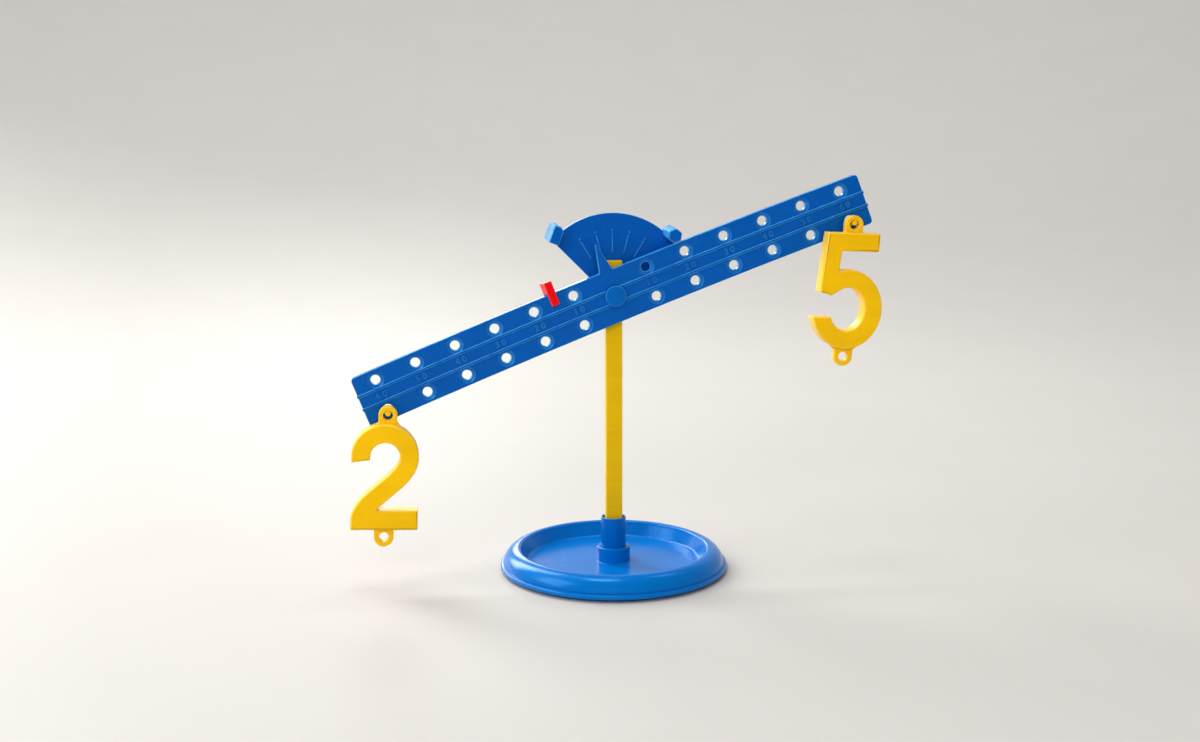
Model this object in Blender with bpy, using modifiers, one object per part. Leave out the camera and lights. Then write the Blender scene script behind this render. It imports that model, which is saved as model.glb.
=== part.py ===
"""Number balance: a dish base, a post, a tilting beam with peg holes, a scale fan and two hanging digits.

Metres, +Z up. The origin is the middle of the base's underside, on the post's axis. The beam lies along X,
its front faces -Y. The beam rests tilted against its right-hand stop, with the digit 2 low on the left.
"""
import math

import bmesh
import bpy
from mathutils import Matrix, Vector

# Clearances
GAP = 0.0003                # between pieces that touch or seat on each other

# Base dish
BASE_RADIUS = 0.0885        # outer edge of the foot lip
LIP_WIDTH = 0.0015          # how far the foot lip stands out
LIP_HEIGHT = 0.0022
CREST_RADIUS = 0.0745       # highest line of the rolled rim
CREST_HEIGHT = 0.0172
CREST_INNER = 0.0024        # roll-over from the crest to the inner wall
CREST_DROP = 0.0022
WALL_LEAN = 0.0045          # the inner wall leans in by this much
FLOOR_FILLET = 0.0016
FLOOR_HEIGHT = 0.0060       # top face of the dish's floor
DISH_WALL = 0.0022
COLLAR_RADIUS = 0.0130      # raised collar round the socket
COLLAR_HEIGHT = 0.0176
COLLAR_FLOOR = 0.0040       # solid under the socket, down to the table

# Socket that holds the post
SOCKET_RADIUS = 0.00965
SOCKET_TOP = 0.0412
SOCKET_WALL = 0.00135
SOCKET_FLOOR = 0.0025
EDGE_ROUND = 0.0005

# Post
POST_WIDTH = 0.0130
POST_DEPTH = 0.0080
POST_ROUND = 0.0010
POST_RISE = 0.0260          # post above the pivot
PIVOT_HEIGHT = 0.2150

# Pivot
PIN_RADIUS = 0.0030
PIN_HEAD_RADIUS = 0.0081
PIN_HEAD_THICKNESS = 0.0030
PIN_HEAD_ROUND = 0.0008
SPACER_RADIUS = 0.0060
SPACER_THICKNESS = 0.0008
CAP_RADIUS = 0.0065
CAP_DEPTH = 0.0042
CAP_END = 0.0014            # closed end of the cap
CAP_ROUND = 0.0008

# Beam
BEAM_TILT = math.radians(21.1)
BEAM_SAG = 0.0029           # the ends hang this far below a straight beam's
HOLES_PER_ARM = 6
HOLE_PITCH = 0.0320
FIRST_HOLE = 0.0295         # from the pivot to the first hole
END_MARGIN = 0.0170         # from the last hole to the beam's end
ROW_OFFSET = 0.0120         # hole rows above and below the middle
HOLE_RADIUS = 0.0040
BEAM_HEIGHT = 0.0400
BEAM_PLATE = 0.0030
BEAM_FLANGE_DEPTH = 0.0020  # rim behind the plate
BEAM_FLANGE_WIDTH = 0.0022
BEAM_CORNER = 0.0030
BEAM_BOSS_RADIUS = 0.0075
RIB_OFFSET = 0.0052
RIB_WIDTH = 0.0016
RIB_HEIGHT = 0.0007
RIB_OVERHANG = 0.0006       # the ribs stand out past the beam's ends
POINTER_REACH = 0.0425      # pivot to the pointer's tip
POINTER_HALF_BASE = 0.0056
POINTER_TIP = 0.0006

# Scale fan and its stops
FAN_RADIUS = 0.0617
FAN_APEX_DROP = 0.0050      # where the straight edges would meet, below the pivot
FAN_EDGE_ANGLE = math.radians(45.0)
FAN_PLATE = 0.0030
FAN_HUB_RADIUS = 0.0085
STOP_INNER = 0.0535         # along the beam, from the pivot
STOP_WIDTH = 0.0080
STOP_HEIGHT = 0.0137
KNOB_PLACE = 0.0588         # middle of the right-hand, six-sided stop along the beam
KNOB_RADIUS = 0.0058
KEY_WIDTH = 0.0050
KEY_HEIGHT = 0.0080
KEY_DEPTH = 0.0022
KEY_RISE = 0.0150           # key's middle above the pivot
MARK_INNER = 0.0330
MARK_OUTER = 0.0490
MARK_WIDTH = 0.0007
MARK_HEIGHT = 0.0004
MARK_STEP = math.radians(15.5)
MARKS_EACH_SIDE = 2

# Rider
RIDER_PLACE = -0.0455       # along the beam at rest
RIDER_WIDTH = 0.0058
RIDER_LEG = 0.0020
RIDER_REACH = 0.0092        # legs below the beam's upper edge
RIDER_TOP = 0.0094          # bridge above the beam's upper edge
RIDER_ROUND = 0.0005

# Hooks
HOOK_RADIUS = 0.0023
HOOK_BEND = 0.0030
HOOK_LEG = 0.0036

# Digits
DIGIT_DEPTH = 0.0130
DIGIT_STROKE = 0.0140
DIGIT_CLEARANCE = 0.0005    # between the rider's front leg and the backs of the digits
RING_DEPTH = 0.0066
EAR_RADIUS = 0.0069
LOOP_RADIUS = 0.0073
RING_HOLE = 0.0035
EAR_RISE = 0.0063           # ear hole's middle above the digit's top
LOOP_DROP = 0.0062          # loop hole's middle below the digit's foot
RING_NECK = 0.0035          # how deep the rings' necks sink into the digit
NECK_SHARE = 0.9            # a neck's width, of its ring's
DIGIT_LEAN = math.radians(2.5)  # the digits hang off plumb, their feet to the left
TWO_HEIGHT = 0.0800
TWO_WIDTH = 0.0496
TWO_SHIFT = -0.0016         # the digit's middle from its ear
TWO_FOOT = 0.0150
TWO_START = 190.0           # degrees, where the bowl begins
TWO_TURN = -25.0            # degrees, where it runs into the diagonal
TWO_REACH = 0.0159          # how far the bowl's end pulls the diagonal
TWO_HEEL = 0.0020           # how far the foot pulls it, to the right
FIVE_HEIGHT = 0.0888
FIVE_BAR_LEFT = 0.0185
FIVE_BAR_RIGHT = 0.0222
FIVE_BOWL_WIDTH = 0.0550
FIVE_BOWL_HEIGHT = 0.0610
FIVE_SHIFT = -0.0022
FIVE_STEM = 0.0114          # across the stem under the bar
FIVE_STEM_FOOT = 0.0095     # across the stem's foot
FIVE_STEM_SLANT = 0.0041    # the stem's outer edge leans out by this much at its foot
FIVE_STEM_LEAN = 0.0012     # its inner edge, down to the bowl
FIVE_STEM_RISE = 0.0128     # the stem's foot above the bowl's middle
FIVE_STEM_CUT = 0.0025
FIVE_INNER_START = 121.0    # degrees, where the bowl's inner edge leaves the stem
FIVE_TERMINAL_DROP = 0.0062
CORE_WALL = 0.0026          # wall left round the hollow in the back of the digit 5
CORE_DEPTH = 0.0085

# How finely round shapes are divided
DISH_STEPS = 64
SOCKET_STEPS = 48
ROUND_STEPS = 32
RING_STEPS = 24
HOLE_STEPS = 20
HOLE_TURN = math.radians(0.9)
CORNER_STEPS = 4
FILLET_STEPS = 3
RIM_STEPS = 9
RIM_UNDER_STEPS = 7
FAN_STEPS = 24
BOWL_STEPS = 24
BOWL_INNER_STEPS = 20
DIAGONAL_STEPS = 10
SAG_SPAN = 0.0250           # longest step along a bowed edge

# Places worked out from the sizes
BEAM_HALF_LENGTH = FIRST_HOLE + (HOLES_PER_ARM - 1) * HOLE_PITCH + END_MARGIN
BEAM_HALF_HEIGHT = BEAM_HEIGHT / 2
POST_FRONT = -POST_DEPTH / 2
POST_BACK = POST_DEPTH / 2
SPACER_FRONT = POST_FRONT - GAP - SPACER_THICKNESS
BEAM_BACK = SPACER_FRONT - GAP
PLATE_BACK = BEAM_BACK - BEAM_FLANGE_DEPTH
BEAM_FRONT = PLATE_BACK - BEAM_PLATE
RIB_FRONT = BEAM_FRONT - RIB_HEIGHT
FAN_FRONT = POST_BACK + GAP
FAN_BACK = FAN_FRONT + FAN_PLATE
PIN_HOLE = PIN_RADIUS + GAP
CAP_FRONT = FAN_BACK + GAP
RIDER_FRONT = BEAM_FRONT - GAP - RIDER_LEG
RIDER_BACK = BEAM_BACK + GAP + RIDER_LEG
DIGIT_BACK = RIDER_FRONT - DIGIT_CLEARANCE
DIGIT_FRONT = DIGIT_BACK - DIGIT_DEPTH
DIGIT_MIDDLE = (DIGIT_BACK + DIGIT_FRONT) / 2
HOOK_DROP = HOLE_RADIUS - HOOK_RADIUS - GAP
RING_DROP = RING_HOLE - HOOK_RADIUS - GAP
LAST_HOLE = FIRST_HOLE + (HOLES_PER_ARM - 1) * HOLE_PITCH

BLUE = (0.000, 0.095, 0.440, 1.0)
BASE_BLUE = (0.000, 0.150, 0.560, 1.0)
YELLOW = (0.870, 0.500, 0.004, 1.0)
RED = (0.830, 0.004, 0.006, 1.0)


def clear_scene():
    for item in list(bpy.data.objects):
        bpy.data.objects.remove(item, do_unlink=True)


def new_collection(name):
    collection = bpy.data.collections.new(name)
    bpy.context.scene.collection.children.link(collection)
    return collection


clear_scene()
PARTS = new_collection("number_balance")
CUTTERS = new_collection("cutters")


# Helpers for objects, materials and modifiers

def material(name, color, roughness):
    mat = bpy.data.materials.new(name)
    mat.use_nodes = True
    shader = mat.node_tree.nodes["Principled BSDF"]
    shader.inputs["Base Color"].default_value = color
    shader.inputs["Roughness"].default_value = roughness
    shader.inputs["Metallic"].default_value = 0.0
    return mat


def finish(obj, name, color, roughness=0.35):
    """Name a piece, give it its material and put it in the part's collection."""
    obj.name = name
    obj.data.name = name
    obj.data.materials.clear()
    obj.data.materials.append(material(name + "_plastic", color, roughness))
    return obj


def place(obj, parent=None, cutter=False):
    """Link an object, and hide it from the part when it only cuts or joins."""
    (CUTTERS if cutter else PARTS).objects.link(obj)
    obj.parent = parent
    if cutter:
        obj.hide_render = True
        obj.display_type = "WIRE"
    return obj


def axis_empty(name, location, tilt=0.0, parent=None):
    empty = bpy.data.objects.new(name, None)
    empty.location = location
    empty.rotation_euler = (0.0, -tilt, 0.0)
    empty.parent = parent
    PARTS.objects.link(empty)
    return empty


def object_from_bmesh(bm, name):
    mesh = bpy.data.meshes.new(name)
    bmesh.ops.recalc_face_normals(bm, faces=bm.faces)
    bm.to_mesh(mesh)
    bm.free()
    return bpy.data.objects.new(name, mesh)


def box(name, low, high):
    """Box between two corners, in its parent's frame."""
    bm = bmesh.new()
    bmesh.ops.create_cube(bm, size=1.0)
    low, high = Vector(low), Vector(high)
    scale = Matrix.Diagonal((high - low).to_4d())
    bmesh.ops.transform(bm, matrix=Matrix.Translation((low + high) / 2) @ scale, verts=bm.verts)
    return object_from_bmesh(bm, name)


def rod(name, radius, front, back, x=0.0, z=0.0, steps=ROUND_STEPS):
    """Cylinder along Y between two depths."""
    bm = bmesh.new()
    size = {"radius1": radius, "radius2": radius, "depth": back - front}
    bmesh.ops.create_cone(bm, cap_ends=True, segments=steps, **size)
    turn = Matrix.Rotation(math.pi / 2, 4, "X")
    bmesh.ops.transform(bm, matrix=Matrix.Translation((x, (front + back) / 2, z)) @ turn, verts=bm.verts)
    return object_from_bmesh(bm, name)


def plate(name, outlines, front, back):
    """Flat piece in the XZ plane: a closed outline, and one more for each hole in it."""
    curve = bpy.data.curves.new(name, "CURVE")
    curve.dimensions = "2D"
    curve.fill_mode = "BOTH"
    curve.extrude = (back - front) / 2
    for outline in outlines:
        spline = curve.splines.new("POLY")
        spline.points.add(len(outline) - 1)
        spline.use_cyclic_u = True
        for point, (x, z) in zip(spline.points, outline):
            point.co = (x, z, 0.0, 1.0)
    guide = bpy.data.objects.new(name + "_outline", curve)
    guide.location = (0.0, (front + back) / 2, 0.0)
    guide.rotation_euler = (math.pi / 2, 0.0, 0.0)
    bpy.context.scene.collection.objects.link(guide)
    bpy.context.view_layer.update()
    graph = bpy.context.evaluated_depsgraph_get()
    mesh = bpy.data.meshes.new_from_object(guide.evaluated_get(graph))
    mesh.transform(guide.matrix_world)
    bpy.data.objects.remove(guide, do_unlink=True)
    bm = bmesh.new()
    bm.from_mesh(mesh)
    bmesh.ops.remove_doubles(bm, verts=bm.verts, dist=1e-6)
    bpy.data.meshes.remove(mesh)
    return object_from_bmesh(bm, name)


def turned(name, profile, steps):
    """Turned piece: the profile's (radius, height) points run down the outer side, top to bottom."""
    mesh = bpy.data.meshes.new(name)
    count = len(profile)
    closed = profile[0][0] > 0.0
    edges = [(i, i + 1) for i in range(count - 1)]
    if closed:
        edges.append((count - 1, 0))
    mesh.from_pydata([(r, 0.0, z) for r, z in profile], edges, [])
    obj = bpy.data.objects.new(name, mesh)
    screw = obj.modifiers.new("Turn", "SCREW")
    screw.axis = "Z"
    screw.steps = steps
    screw.render_steps = steps
    screw.use_merge_vertices = True
    screw.merge_threshold = 0.00001
    screw.use_normal_calculate = closed
    return obj


def boolean(obj, other, operation="DIFFERENCE"):
    step = obj.modifiers.new(operation.title(), "BOOLEAN")
    step.operation = operation
    step.solver = "EXACT"
    step.object = other


def bevel(obj, width, segments=1, angle=40.0):
    step = obj.modifiers.new("Bevel", "BEVEL")
    step.width = width
    step.segments = segments
    step.limit_method = "ANGLE"
    step.angle_limit = math.radians(angle)
    step.use_clamp_overlap = True


def smooth(obj, angle=35.0):
    obj.data.shade_smooth()
    obj.data.set_sharp_from_angle(angle=math.radians(angle))


# Outlines

def circle(x, z, radius, steps, turn=0.0):
    angles = [turn + 2 * math.pi * i / steps for i in range(steps)]
    return [(x + radius * math.cos(a), z + radius * math.sin(a)) for a in angles]


def arc(x, z, rx, rz, start, stop, steps):
    """Points of an arc in degrees, both ends included."""
    angles = [math.radians(start + (stop - start) * i / steps) for i in range(steps + 1)]
    return [(x + rx * math.cos(a), z + rz * math.sin(a)) for a in angles]


def rounded_rectangle(half_x, half_z, radius):
    points = []
    for sx, sz, start in ((1, 1, 0), (-1, 1, 90), (-1, -1, 180), (1, -1, 270)):
        x, z = sx * (half_x - radius), sz * (half_z - radius)
        points += arc(x, z, radius, radius, start, start + 90, CORNER_STEPS)
    return points


def bezier(p0, p1, p2, p3, steps):
    """Points of one cubic curve, without its first point."""
    points = []
    for i in range(1, steps + 1):
        t = i / steps
        shares = ((1 - t) ** 3, 3 * t * (1 - t) ** 2, 3 * t * t * (1 - t), t ** 3)
        points.append(tuple(sum(s * p[k] for s, p in zip(shares, (p0, p1, p2, p3))) for k in (0, 1)))
    return points


def stroke(path, half_width):
    """Closed outline of a pen stroke with square ends along a path."""
    left, right = [], []
    for i, (x, z) in enumerate(path):
        x0, z0 = path[max(i - 1, 0)]
        x1, z1 = path[min(i + 1, len(path) - 1)]
        length = math.hypot(x1 - x0, z1 - z0)
        nx, nz = -(z1 - z0) / length, (x1 - x0) / length
        left.append((x + nx * half_width, z + nz * half_width))
        right.append((x - nx * half_width, z - nz * half_width))
    return left + right[::-1]


# How the beam bows

def sag(along):
    """How far the bowed beam hangs below a straight one, at a place along it."""
    return BEAM_SAG * (along / BEAM_HALF_LENGTH) ** 2


def sagged(outline):
    """Outline of a piece of the bowed beam, its long edges divided."""
    points = []
    for (x0, z0), (x1, z1) in zip(outline, outline[1:] + outline[:1]):
        parts = max(1, math.ceil(abs(x1 - x0) / SAG_SPAN))
        points += [(x0 + (x1 - x0) * i / parts, z0 + (z1 - z0) * i / parts) for i in range(parts)]
    return [(x, z - sag(x)) for x, z in points]


# Base dish: one thin moulding with a rolled rim, a flat floor and a collar for the socket

def base_dish():
    rise = CREST_HEIGHT - LIP_HEIGHT
    reach = BASE_RADIUS - LIP_WIDTH - CREST_RADIUS
    wall_top = CREST_RADIUS - CREST_INNER
    floor_edge = wall_top - WALL_LEAN - FLOOR_FILLET
    under = FLOOR_HEIGHT - DISH_WALL
    bore = SOCKET_RADIUS + GAP
    profile = [(bore, COLLAR_HEIGHT), (COLLAR_RADIUS - EDGE_ROUND, COLLAR_HEIGHT)]
    profile += [(COLLAR_RADIUS, COLLAR_HEIGHT - EDGE_ROUND), (COLLAR_RADIUS, FLOOR_HEIGHT)]
    floor_turn = FLOOR_HEIGHT + FLOOR_FILLET
    profile += arc(floor_edge, floor_turn, FLOOR_FILLET, FLOOR_FILLET, 270, 350, FILLET_STEPS)
    profile += arc(CREST_RADIUS, CREST_HEIGHT - CREST_DROP, CREST_INNER, CREST_DROP, 180, 90, CORNER_STEPS)
    profile += arc(CREST_RADIUS, LIP_HEIGHT, reach, rise, 90, 0, RIM_STEPS)[1:]
    profile += [(BASE_RADIUS, LIP_HEIGHT), (BASE_RADIUS, 0.0)]
    profile += [(BASE_RADIUS - LIP_WIDTH - DISH_WALL, 0.0)]
    profile += arc(CREST_RADIUS, LIP_HEIGHT, reach - DISH_WALL, rise - DISH_WALL, 0, 90, RIM_UNDER_STEPS)
    profile += [(wall_top + DISH_WALL, CREST_HEIGHT - DISH_WALL - CREST_DROP)]
    profile += [(floor_edge + FLOOR_FILLET + DISH_WALL, under), (COLLAR_RADIUS, under), (COLLAR_RADIUS, 0.0)]
    profile += [(0.0, 0.0)]
    profile = [(0.0, COLLAR_FLOOR), (bore, COLLAR_FLOOR)] + profile
    obj = turned("base_dish", profile, DISH_STEPS)
    smooth(obj)
    return place(finish(obj, "base_dish", BASE_BLUE, 0.25))


# Socket: a stepped tube that seats in the collar and takes the foot of the post

def post_socket():
    bottom = COLLAR_FLOOR + GAP
    bore = SOCKET_RADIUS - SOCKET_WALL
    profile = [(0.0, bottom + SOCKET_FLOOR), (bore, bottom + SOCKET_FLOOR), (bore, SOCKET_TOP)]
    profile += [(SOCKET_RADIUS - EDGE_ROUND, SOCKET_TOP), (SOCKET_RADIUS, SOCKET_TOP - EDGE_ROUND)]
    profile += [(SOCKET_RADIUS, bottom), (0.0, bottom)]
    obj = turned("post_socket", profile, SOCKET_STEPS)
    smooth(obj)
    return place(finish(obj, "post_socket", BLUE, 0.28))


# Post: a flat bar with softened edges, drilled for the pivot pin and notched for the fan's key

def post():
    foot = COLLAR_FLOOR + GAP + SOCKET_FLOOR + GAP
    top = PIVOT_HEIGHT + POST_RISE
    half = POST_WIDTH / 2
    obj = box("post", (-half, POST_FRONT, foot), (half, POST_BACK, top))
    bevel(obj, POST_ROUND, 2)
    drill = rod("post_drill", PIN_HOLE, POST_FRONT - POST_DEPTH, POST_BACK + POST_DEPTH, 0.0, PIVOT_HEIGHT)
    boolean(obj, place(drill, None, True))
    half_key = KEY_WIDTH / 2 + GAP
    low = PIVOT_HEIGHT + KEY_RISE - KEY_HEIGHT / 2 - GAP
    high = PIVOT_HEIGHT + KEY_RISE + KEY_HEIGHT / 2 + GAP
    front, back = POST_BACK - KEY_DEPTH, POST_BACK + POST_DEPTH
    keyway = box("post_keyway", (-half_key, front, low), (half_key, back, high))
    boolean(obj, place(keyway, None, True))
    return place(finish(obj, "post", YELLOW, 0.35))


# Scale fan: a sector plate behind the post, with marks on its face, a key and two stops for the beam

def fan_outline():
    """Sector whose straight edges meet below the pivot, with a round hub at the pin."""
    slope = math.tan(FAN_EDGE_ANGLE)
    # where a straight edge from the apex meets the arc about the pivot
    a = 1.0 + 1.0 / slope ** 2
    b = -2.0 * FAN_APEX_DROP / slope
    c = FAN_APEX_DROP ** 2 - FAN_RADIUS ** 2
    corner_x = (-b + math.sqrt(b * b - 4 * a * c)) / (2 * a)
    corner = math.degrees(math.acos(corner_x / FAN_RADIUS))
    return arc(0.0, 0.0, FAN_RADIUS, FAN_RADIUS, corner, 180 - corner, FAN_STEPS) + [(0.0, -FAN_APEX_DROP)]


def fan_scale():
    pivot = axis_empty("fan_centre", (0.0, 0.0, PIVOT_HEIGHT))
    obj = plate("fan_scale", [fan_outline()], FAN_FRONT, FAN_BACK)
    boolean(obj, place(rod("fan_hub", FAN_HUB_RADIUS, FAN_FRONT, FAN_BACK), pivot, True), "UNION")
    low = BEAM_HALF_HEIGHT - sag(STOP_INNER) + GAP
    high = low + STOP_HEIGHT
    for side, word in ((-1, "left"), (1, "right")):
        seat = axis_empty("stop_seat_" + word, (0.0, 0.0, 0.0), side * BEAM_TILT, pivot)
        if side < 0:
            stop = box("fan_stop", (-STOP_INNER - STOP_WIDTH, BEAM_FRONT, low), (-STOP_INNER, FAN_BACK, high))
        else:
            middle = low + KNOB_RADIUS * math.sin(math.radians(60.0))
            corners = arc(KNOB_PLACE, middle, KNOB_RADIUS, KNOB_RADIUS, 0, 360, 6)[:-1]
            stop = plate("fan_knob", [corners], BEAM_FRONT, FAN_BACK)
        boolean(obj, place(stop, seat, True), "UNION")
    for k in range(-MARKS_EACH_SIDE, MARKS_EACH_SIDE + 1):
        turn = axis_empty("mark_turn_%d" % (k + MARKS_EACH_SIDE), (0.0, 0.0, 0.0), k * MARK_STEP, pivot)
        half = MARK_WIDTH / 2
        front, back = FAN_FRONT - MARK_HEIGHT, FAN_FRONT + MARK_HEIGHT
        mark = box("fan_mark", (-half, front, MARK_INNER), (half, back, MARK_OUTER))
        boolean(obj, place(mark, turn, True), "UNION")
    half_key = KEY_WIDTH / 2
    key_low, key_high = KEY_RISE - KEY_HEIGHT / 2, KEY_RISE + KEY_HEIGHT / 2
    front, back = POST_BACK - KEY_DEPTH + GAP, FAN_FRONT + FAN_PLATE / 2
    key = box("fan_key", (-half_key, front, key_low), (half_key, back, key_high))
    boolean(obj, place(key, pivot, True), "UNION")
    drill = rod("fan_drill", PIN_HOLE, FAN_FRONT - FAN_PLATE, FAN_BACK + FAN_PLATE)
    boolean(obj, place(drill, pivot, True))
    return place(finish(obj, "fan_scale", BLUE, 0.3), pivot)


# Pivot: a headed pin through beam, post and fan, with a spacer before the post and a cap on its end

def pivot_pieces():
    pivot = axis_empty("pin_centre", (0.0, 0.0, PIVOT_HEIGHT))
    head_back = RIB_FRONT - GAP
    pin_end = CAP_FRONT + CAP_DEPTH - CAP_END - GAP
    front = head_back - PIN_HEAD_THICKNESS
    profile = [(0.0, -front), (PIN_HEAD_RADIUS - PIN_HEAD_ROUND, -front)]
    profile += [(PIN_HEAD_RADIUS, -front - PIN_HEAD_ROUND), (PIN_HEAD_RADIUS, -head_back)]
    profile += [(PIN_RADIUS, -head_back), (PIN_RADIUS, -pin_end), (0.0, -pin_end)]
    pin = turned("pivot_pin", profile, ROUND_STEPS)
    pin.rotation_euler = (math.pi / 2, 0.0, 0.0)
    smooth(pin)
    place(finish(pin, "pivot_pin", BLUE, 0.3), pivot)

    outlines = [circle(0, 0, SPACER_RADIUS, ROUND_STEPS), circle(0, 0, PIN_HOLE, ROUND_STEPS)]
    spacer = plate("spacer_washer", outlines, SPACER_FRONT, SPACER_FRONT + SPACER_THICKNESS)
    place(finish(spacer, "spacer_washer", BLUE, 0.4), pivot)

    back = CAP_FRONT + CAP_DEPTH
    inner = back - CAP_END
    profile = [(0.0, -inner), (PIN_HOLE, -inner), (PIN_HOLE, -CAP_FRONT), (CAP_RADIUS, -CAP_FRONT)]
    profile += [(CAP_RADIUS, -back + CAP_ROUND), (CAP_RADIUS - CAP_ROUND, -back), (0.0, -back)]
    cap = turned("retaining_cap", profile, ROUND_STEPS)
    cap.rotation_euler = (math.pi / 2, 0.0, 0.0)
    smooth(cap)
    place(finish(cap, "retaining_cap", BLUE, 0.35), pivot)


# Beam: a plate with two rows of peg holes, a rim behind it, two long ribs and a pointer in one moulding

def hole_places():
    return [side * (FIRST_HOLE + k * HOLE_PITCH) for side in (-1, 1) for k in range(HOLES_PER_ARM)]


def beam_outline():
    outline = rounded_rectangle(BEAM_HALF_LENGTH, BEAM_HALF_HEIGHT, BEAM_CORNER)
    first_left = CORNER_STEPS + 1
    tip = [(POINTER_HALF_BASE, BEAM_HALF_HEIGHT), (POINTER_TIP, POINTER_REACH), (-POINTER_TIP, POINTER_REACH)]
    tip += [(-POINTER_HALF_BASE, BEAM_HALF_HEIGHT)]
    return sagged(outline[:first_left] + tip + outline[first_left:])


def beam(axis):
    centres = [(x, row * ROW_OFFSET - sag(x)) for x in hole_places() for row in (-1, 1)]
    # each hole's first corner is turned a little from the last one's, so no three corners fall in line
    holes = [circle(x, z, HOLE_RADIUS, HOLE_STEPS, k * HOLE_TURN) for k, (x, z) in enumerate(centres)]
    pin_hole = circle(0, 0, PIN_HOLE, ROUND_STEPS)
    obj = plate("beam", [beam_outline(), pin_hole] + holes, BEAM_FRONT, BEAM_BACK)
    half_x, half_z = BEAM_HALF_LENGTH - BEAM_FLANGE_WIDTH, BEAM_HALF_HEIGHT - BEAM_FLANGE_WIDTH
    hollow = sagged(rounded_rectangle(half_x, half_z, max(BEAM_CORNER - BEAM_FLANGE_WIDTH, GAP)))
    boss = circle(0, 0, BEAM_BOSS_RADIUS, ROUND_STEPS)
    boolean(obj, place(plate("beam_hollow", [hollow, boss], PLATE_BACK, BEAM_BACK + BEAM_PLATE), axis, True))
    overlap = BEAM_PLATE / 2
    # the ribs start under the pin's head and run past the beam's ends
    rib_start = (PIN_RADIUS + PIN_HEAD_RADIUS) / 2
    rib_end = BEAM_HALF_LENGTH + RIB_OVERHANG
    for side in (-1, 1):
        for left, right in ((-rib_end, -rib_start), (rib_start, rib_end)):
            low, high = side * RIB_OFFSET - RIB_WIDTH / 2, side * RIB_OFFSET + RIB_WIDTH / 2
            outline = sagged([(left, low), (right, low), (right, high), (left, high)])
            rib = plate("beam_rib", [outline], RIB_FRONT, BEAM_FRONT + overlap)
            boolean(obj, place(rib, axis, True), "UNION")
    return place(finish(obj, "beam", BLUE, 0.32), axis)


# Rider: a clip over the beam's upper edge, slid along it to trim the balance

def rider(axis):
    seat = axis_empty("rider_place", (RIDER_PLACE, 0.0, -sag(RIDER_PLACE)), 0.0, axis)
    half = RIDER_WIDTH / 2
    low, high = BEAM_HALF_HEIGHT - RIDER_REACH, BEAM_HALF_HEIGHT + RIDER_TOP
    obj = box("rider", (-half, RIDER_FRONT, low), (half, RIDER_BACK, high))
    bevel(obj, RIDER_ROUND, 1)
    front, back = BEAM_FRONT - GAP, BEAM_BACK + GAP
    slot_top = BEAM_HALF_HEIGHT + GAP
    slot = box("rider_slot", (-RIDER_WIDTH, front, low - RIDER_REACH), (RIDER_WIDTH, back, slot_top))
    boolean(obj, place(slot, seat, True))
    return place(finish(obj, "rider", RED, 0.3), seat)


# Hooks: round bars lying in the last lower holes, turned down behind the beam, with the digits' ears on them

def hook(name, seat):
    """Bar from the ear's middle back through the hole, then down behind the plate."""
    front = DIGIT_MIDDLE - RING_DEPTH / 2 + GAP
    leg = PLATE_BACK + GAP + HOOK_RADIUS
    bend = arc(0, 0, HOOK_BEND, HOOK_BEND, 90, 0, CORNER_STEPS)
    path = [(0.0, front, 0.0), (0.0, leg - HOOK_BEND, 0.0)]
    path += [(0.0, leg - HOOK_BEND + y, z - HOOK_BEND) for y, z in bend[1:]]
    path += [(0.0, leg, -HOOK_LEG)]
    curve = bpy.data.curves.new(name, "CURVE")
    curve.dimensions = "3D"
    curve.bevel_depth = HOOK_RADIUS
    curve.bevel_resolution = 3
    curve.use_fill_caps = True
    spline = curve.splines.new("POLY")
    spline.points.add(len(path) - 1)
    for point, co in zip(spline.points, path):
        point.co = (*co, 1.0)
    guide = bpy.data.objects.new(name + "_path", curve)
    bpy.context.scene.collection.objects.link(guide)
    graph = bpy.context.evaluated_depsgraph_get()
    mesh = bpy.data.meshes.new_from_object(guide.evaluated_get(graph))
    mesh.transform(guide.matrix_world)
    bpy.data.objects.remove(guide, do_unlink=True)
    bm = bmesh.new()
    bm.from_mesh(mesh)
    bmesh.ops.remove_doubles(bm, verts=bm.verts, dist=1e-6)
    bpy.data.meshes.remove(mesh)
    obj = object_from_bmesh(bm, name)
    smooth(obj)
    return place(finish(obj, name, YELLOW, 0.35), seat)


# Digits: thick moulded numerals with an ear above to hang by and a loop below to hang more from

def add_rings(obj, seat, shift, top, foot):
    """Ear and loop with their necks, joined to the digit and drilled."""
    front, back = DIGIT_MIDDLE - RING_DEPTH / 2, DIGIT_MIDDLE + RING_DEPTH / 2
    ear = (EAR_RADIUS, 0.0, -RING_DROP, top)
    loop = (LOOP_RADIUS, shift, foot - LOOP_DROP, foot)
    for radius, x, z, edge in (ear, loop):
        boolean(obj, place(rod("ring", radius, front, back, x, z), seat, True), "UNION")
        inside = edge - RING_NECK if z > edge else edge + RING_NECK
        low, high = sorted((z, inside))
        half = radius * NECK_SHARE
        neck = box("ring_neck", (x - half, front + GAP, low), (x + half, back - GAP, high))
        boolean(obj, place(neck, seat, True), "UNION")
        drill = rod("ring_drill", RING_HOLE, front - RING_DEPTH, back + RING_DEPTH, x, z, RING_STEPS)
        boolean(obj, place(drill, seat, True))


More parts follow.
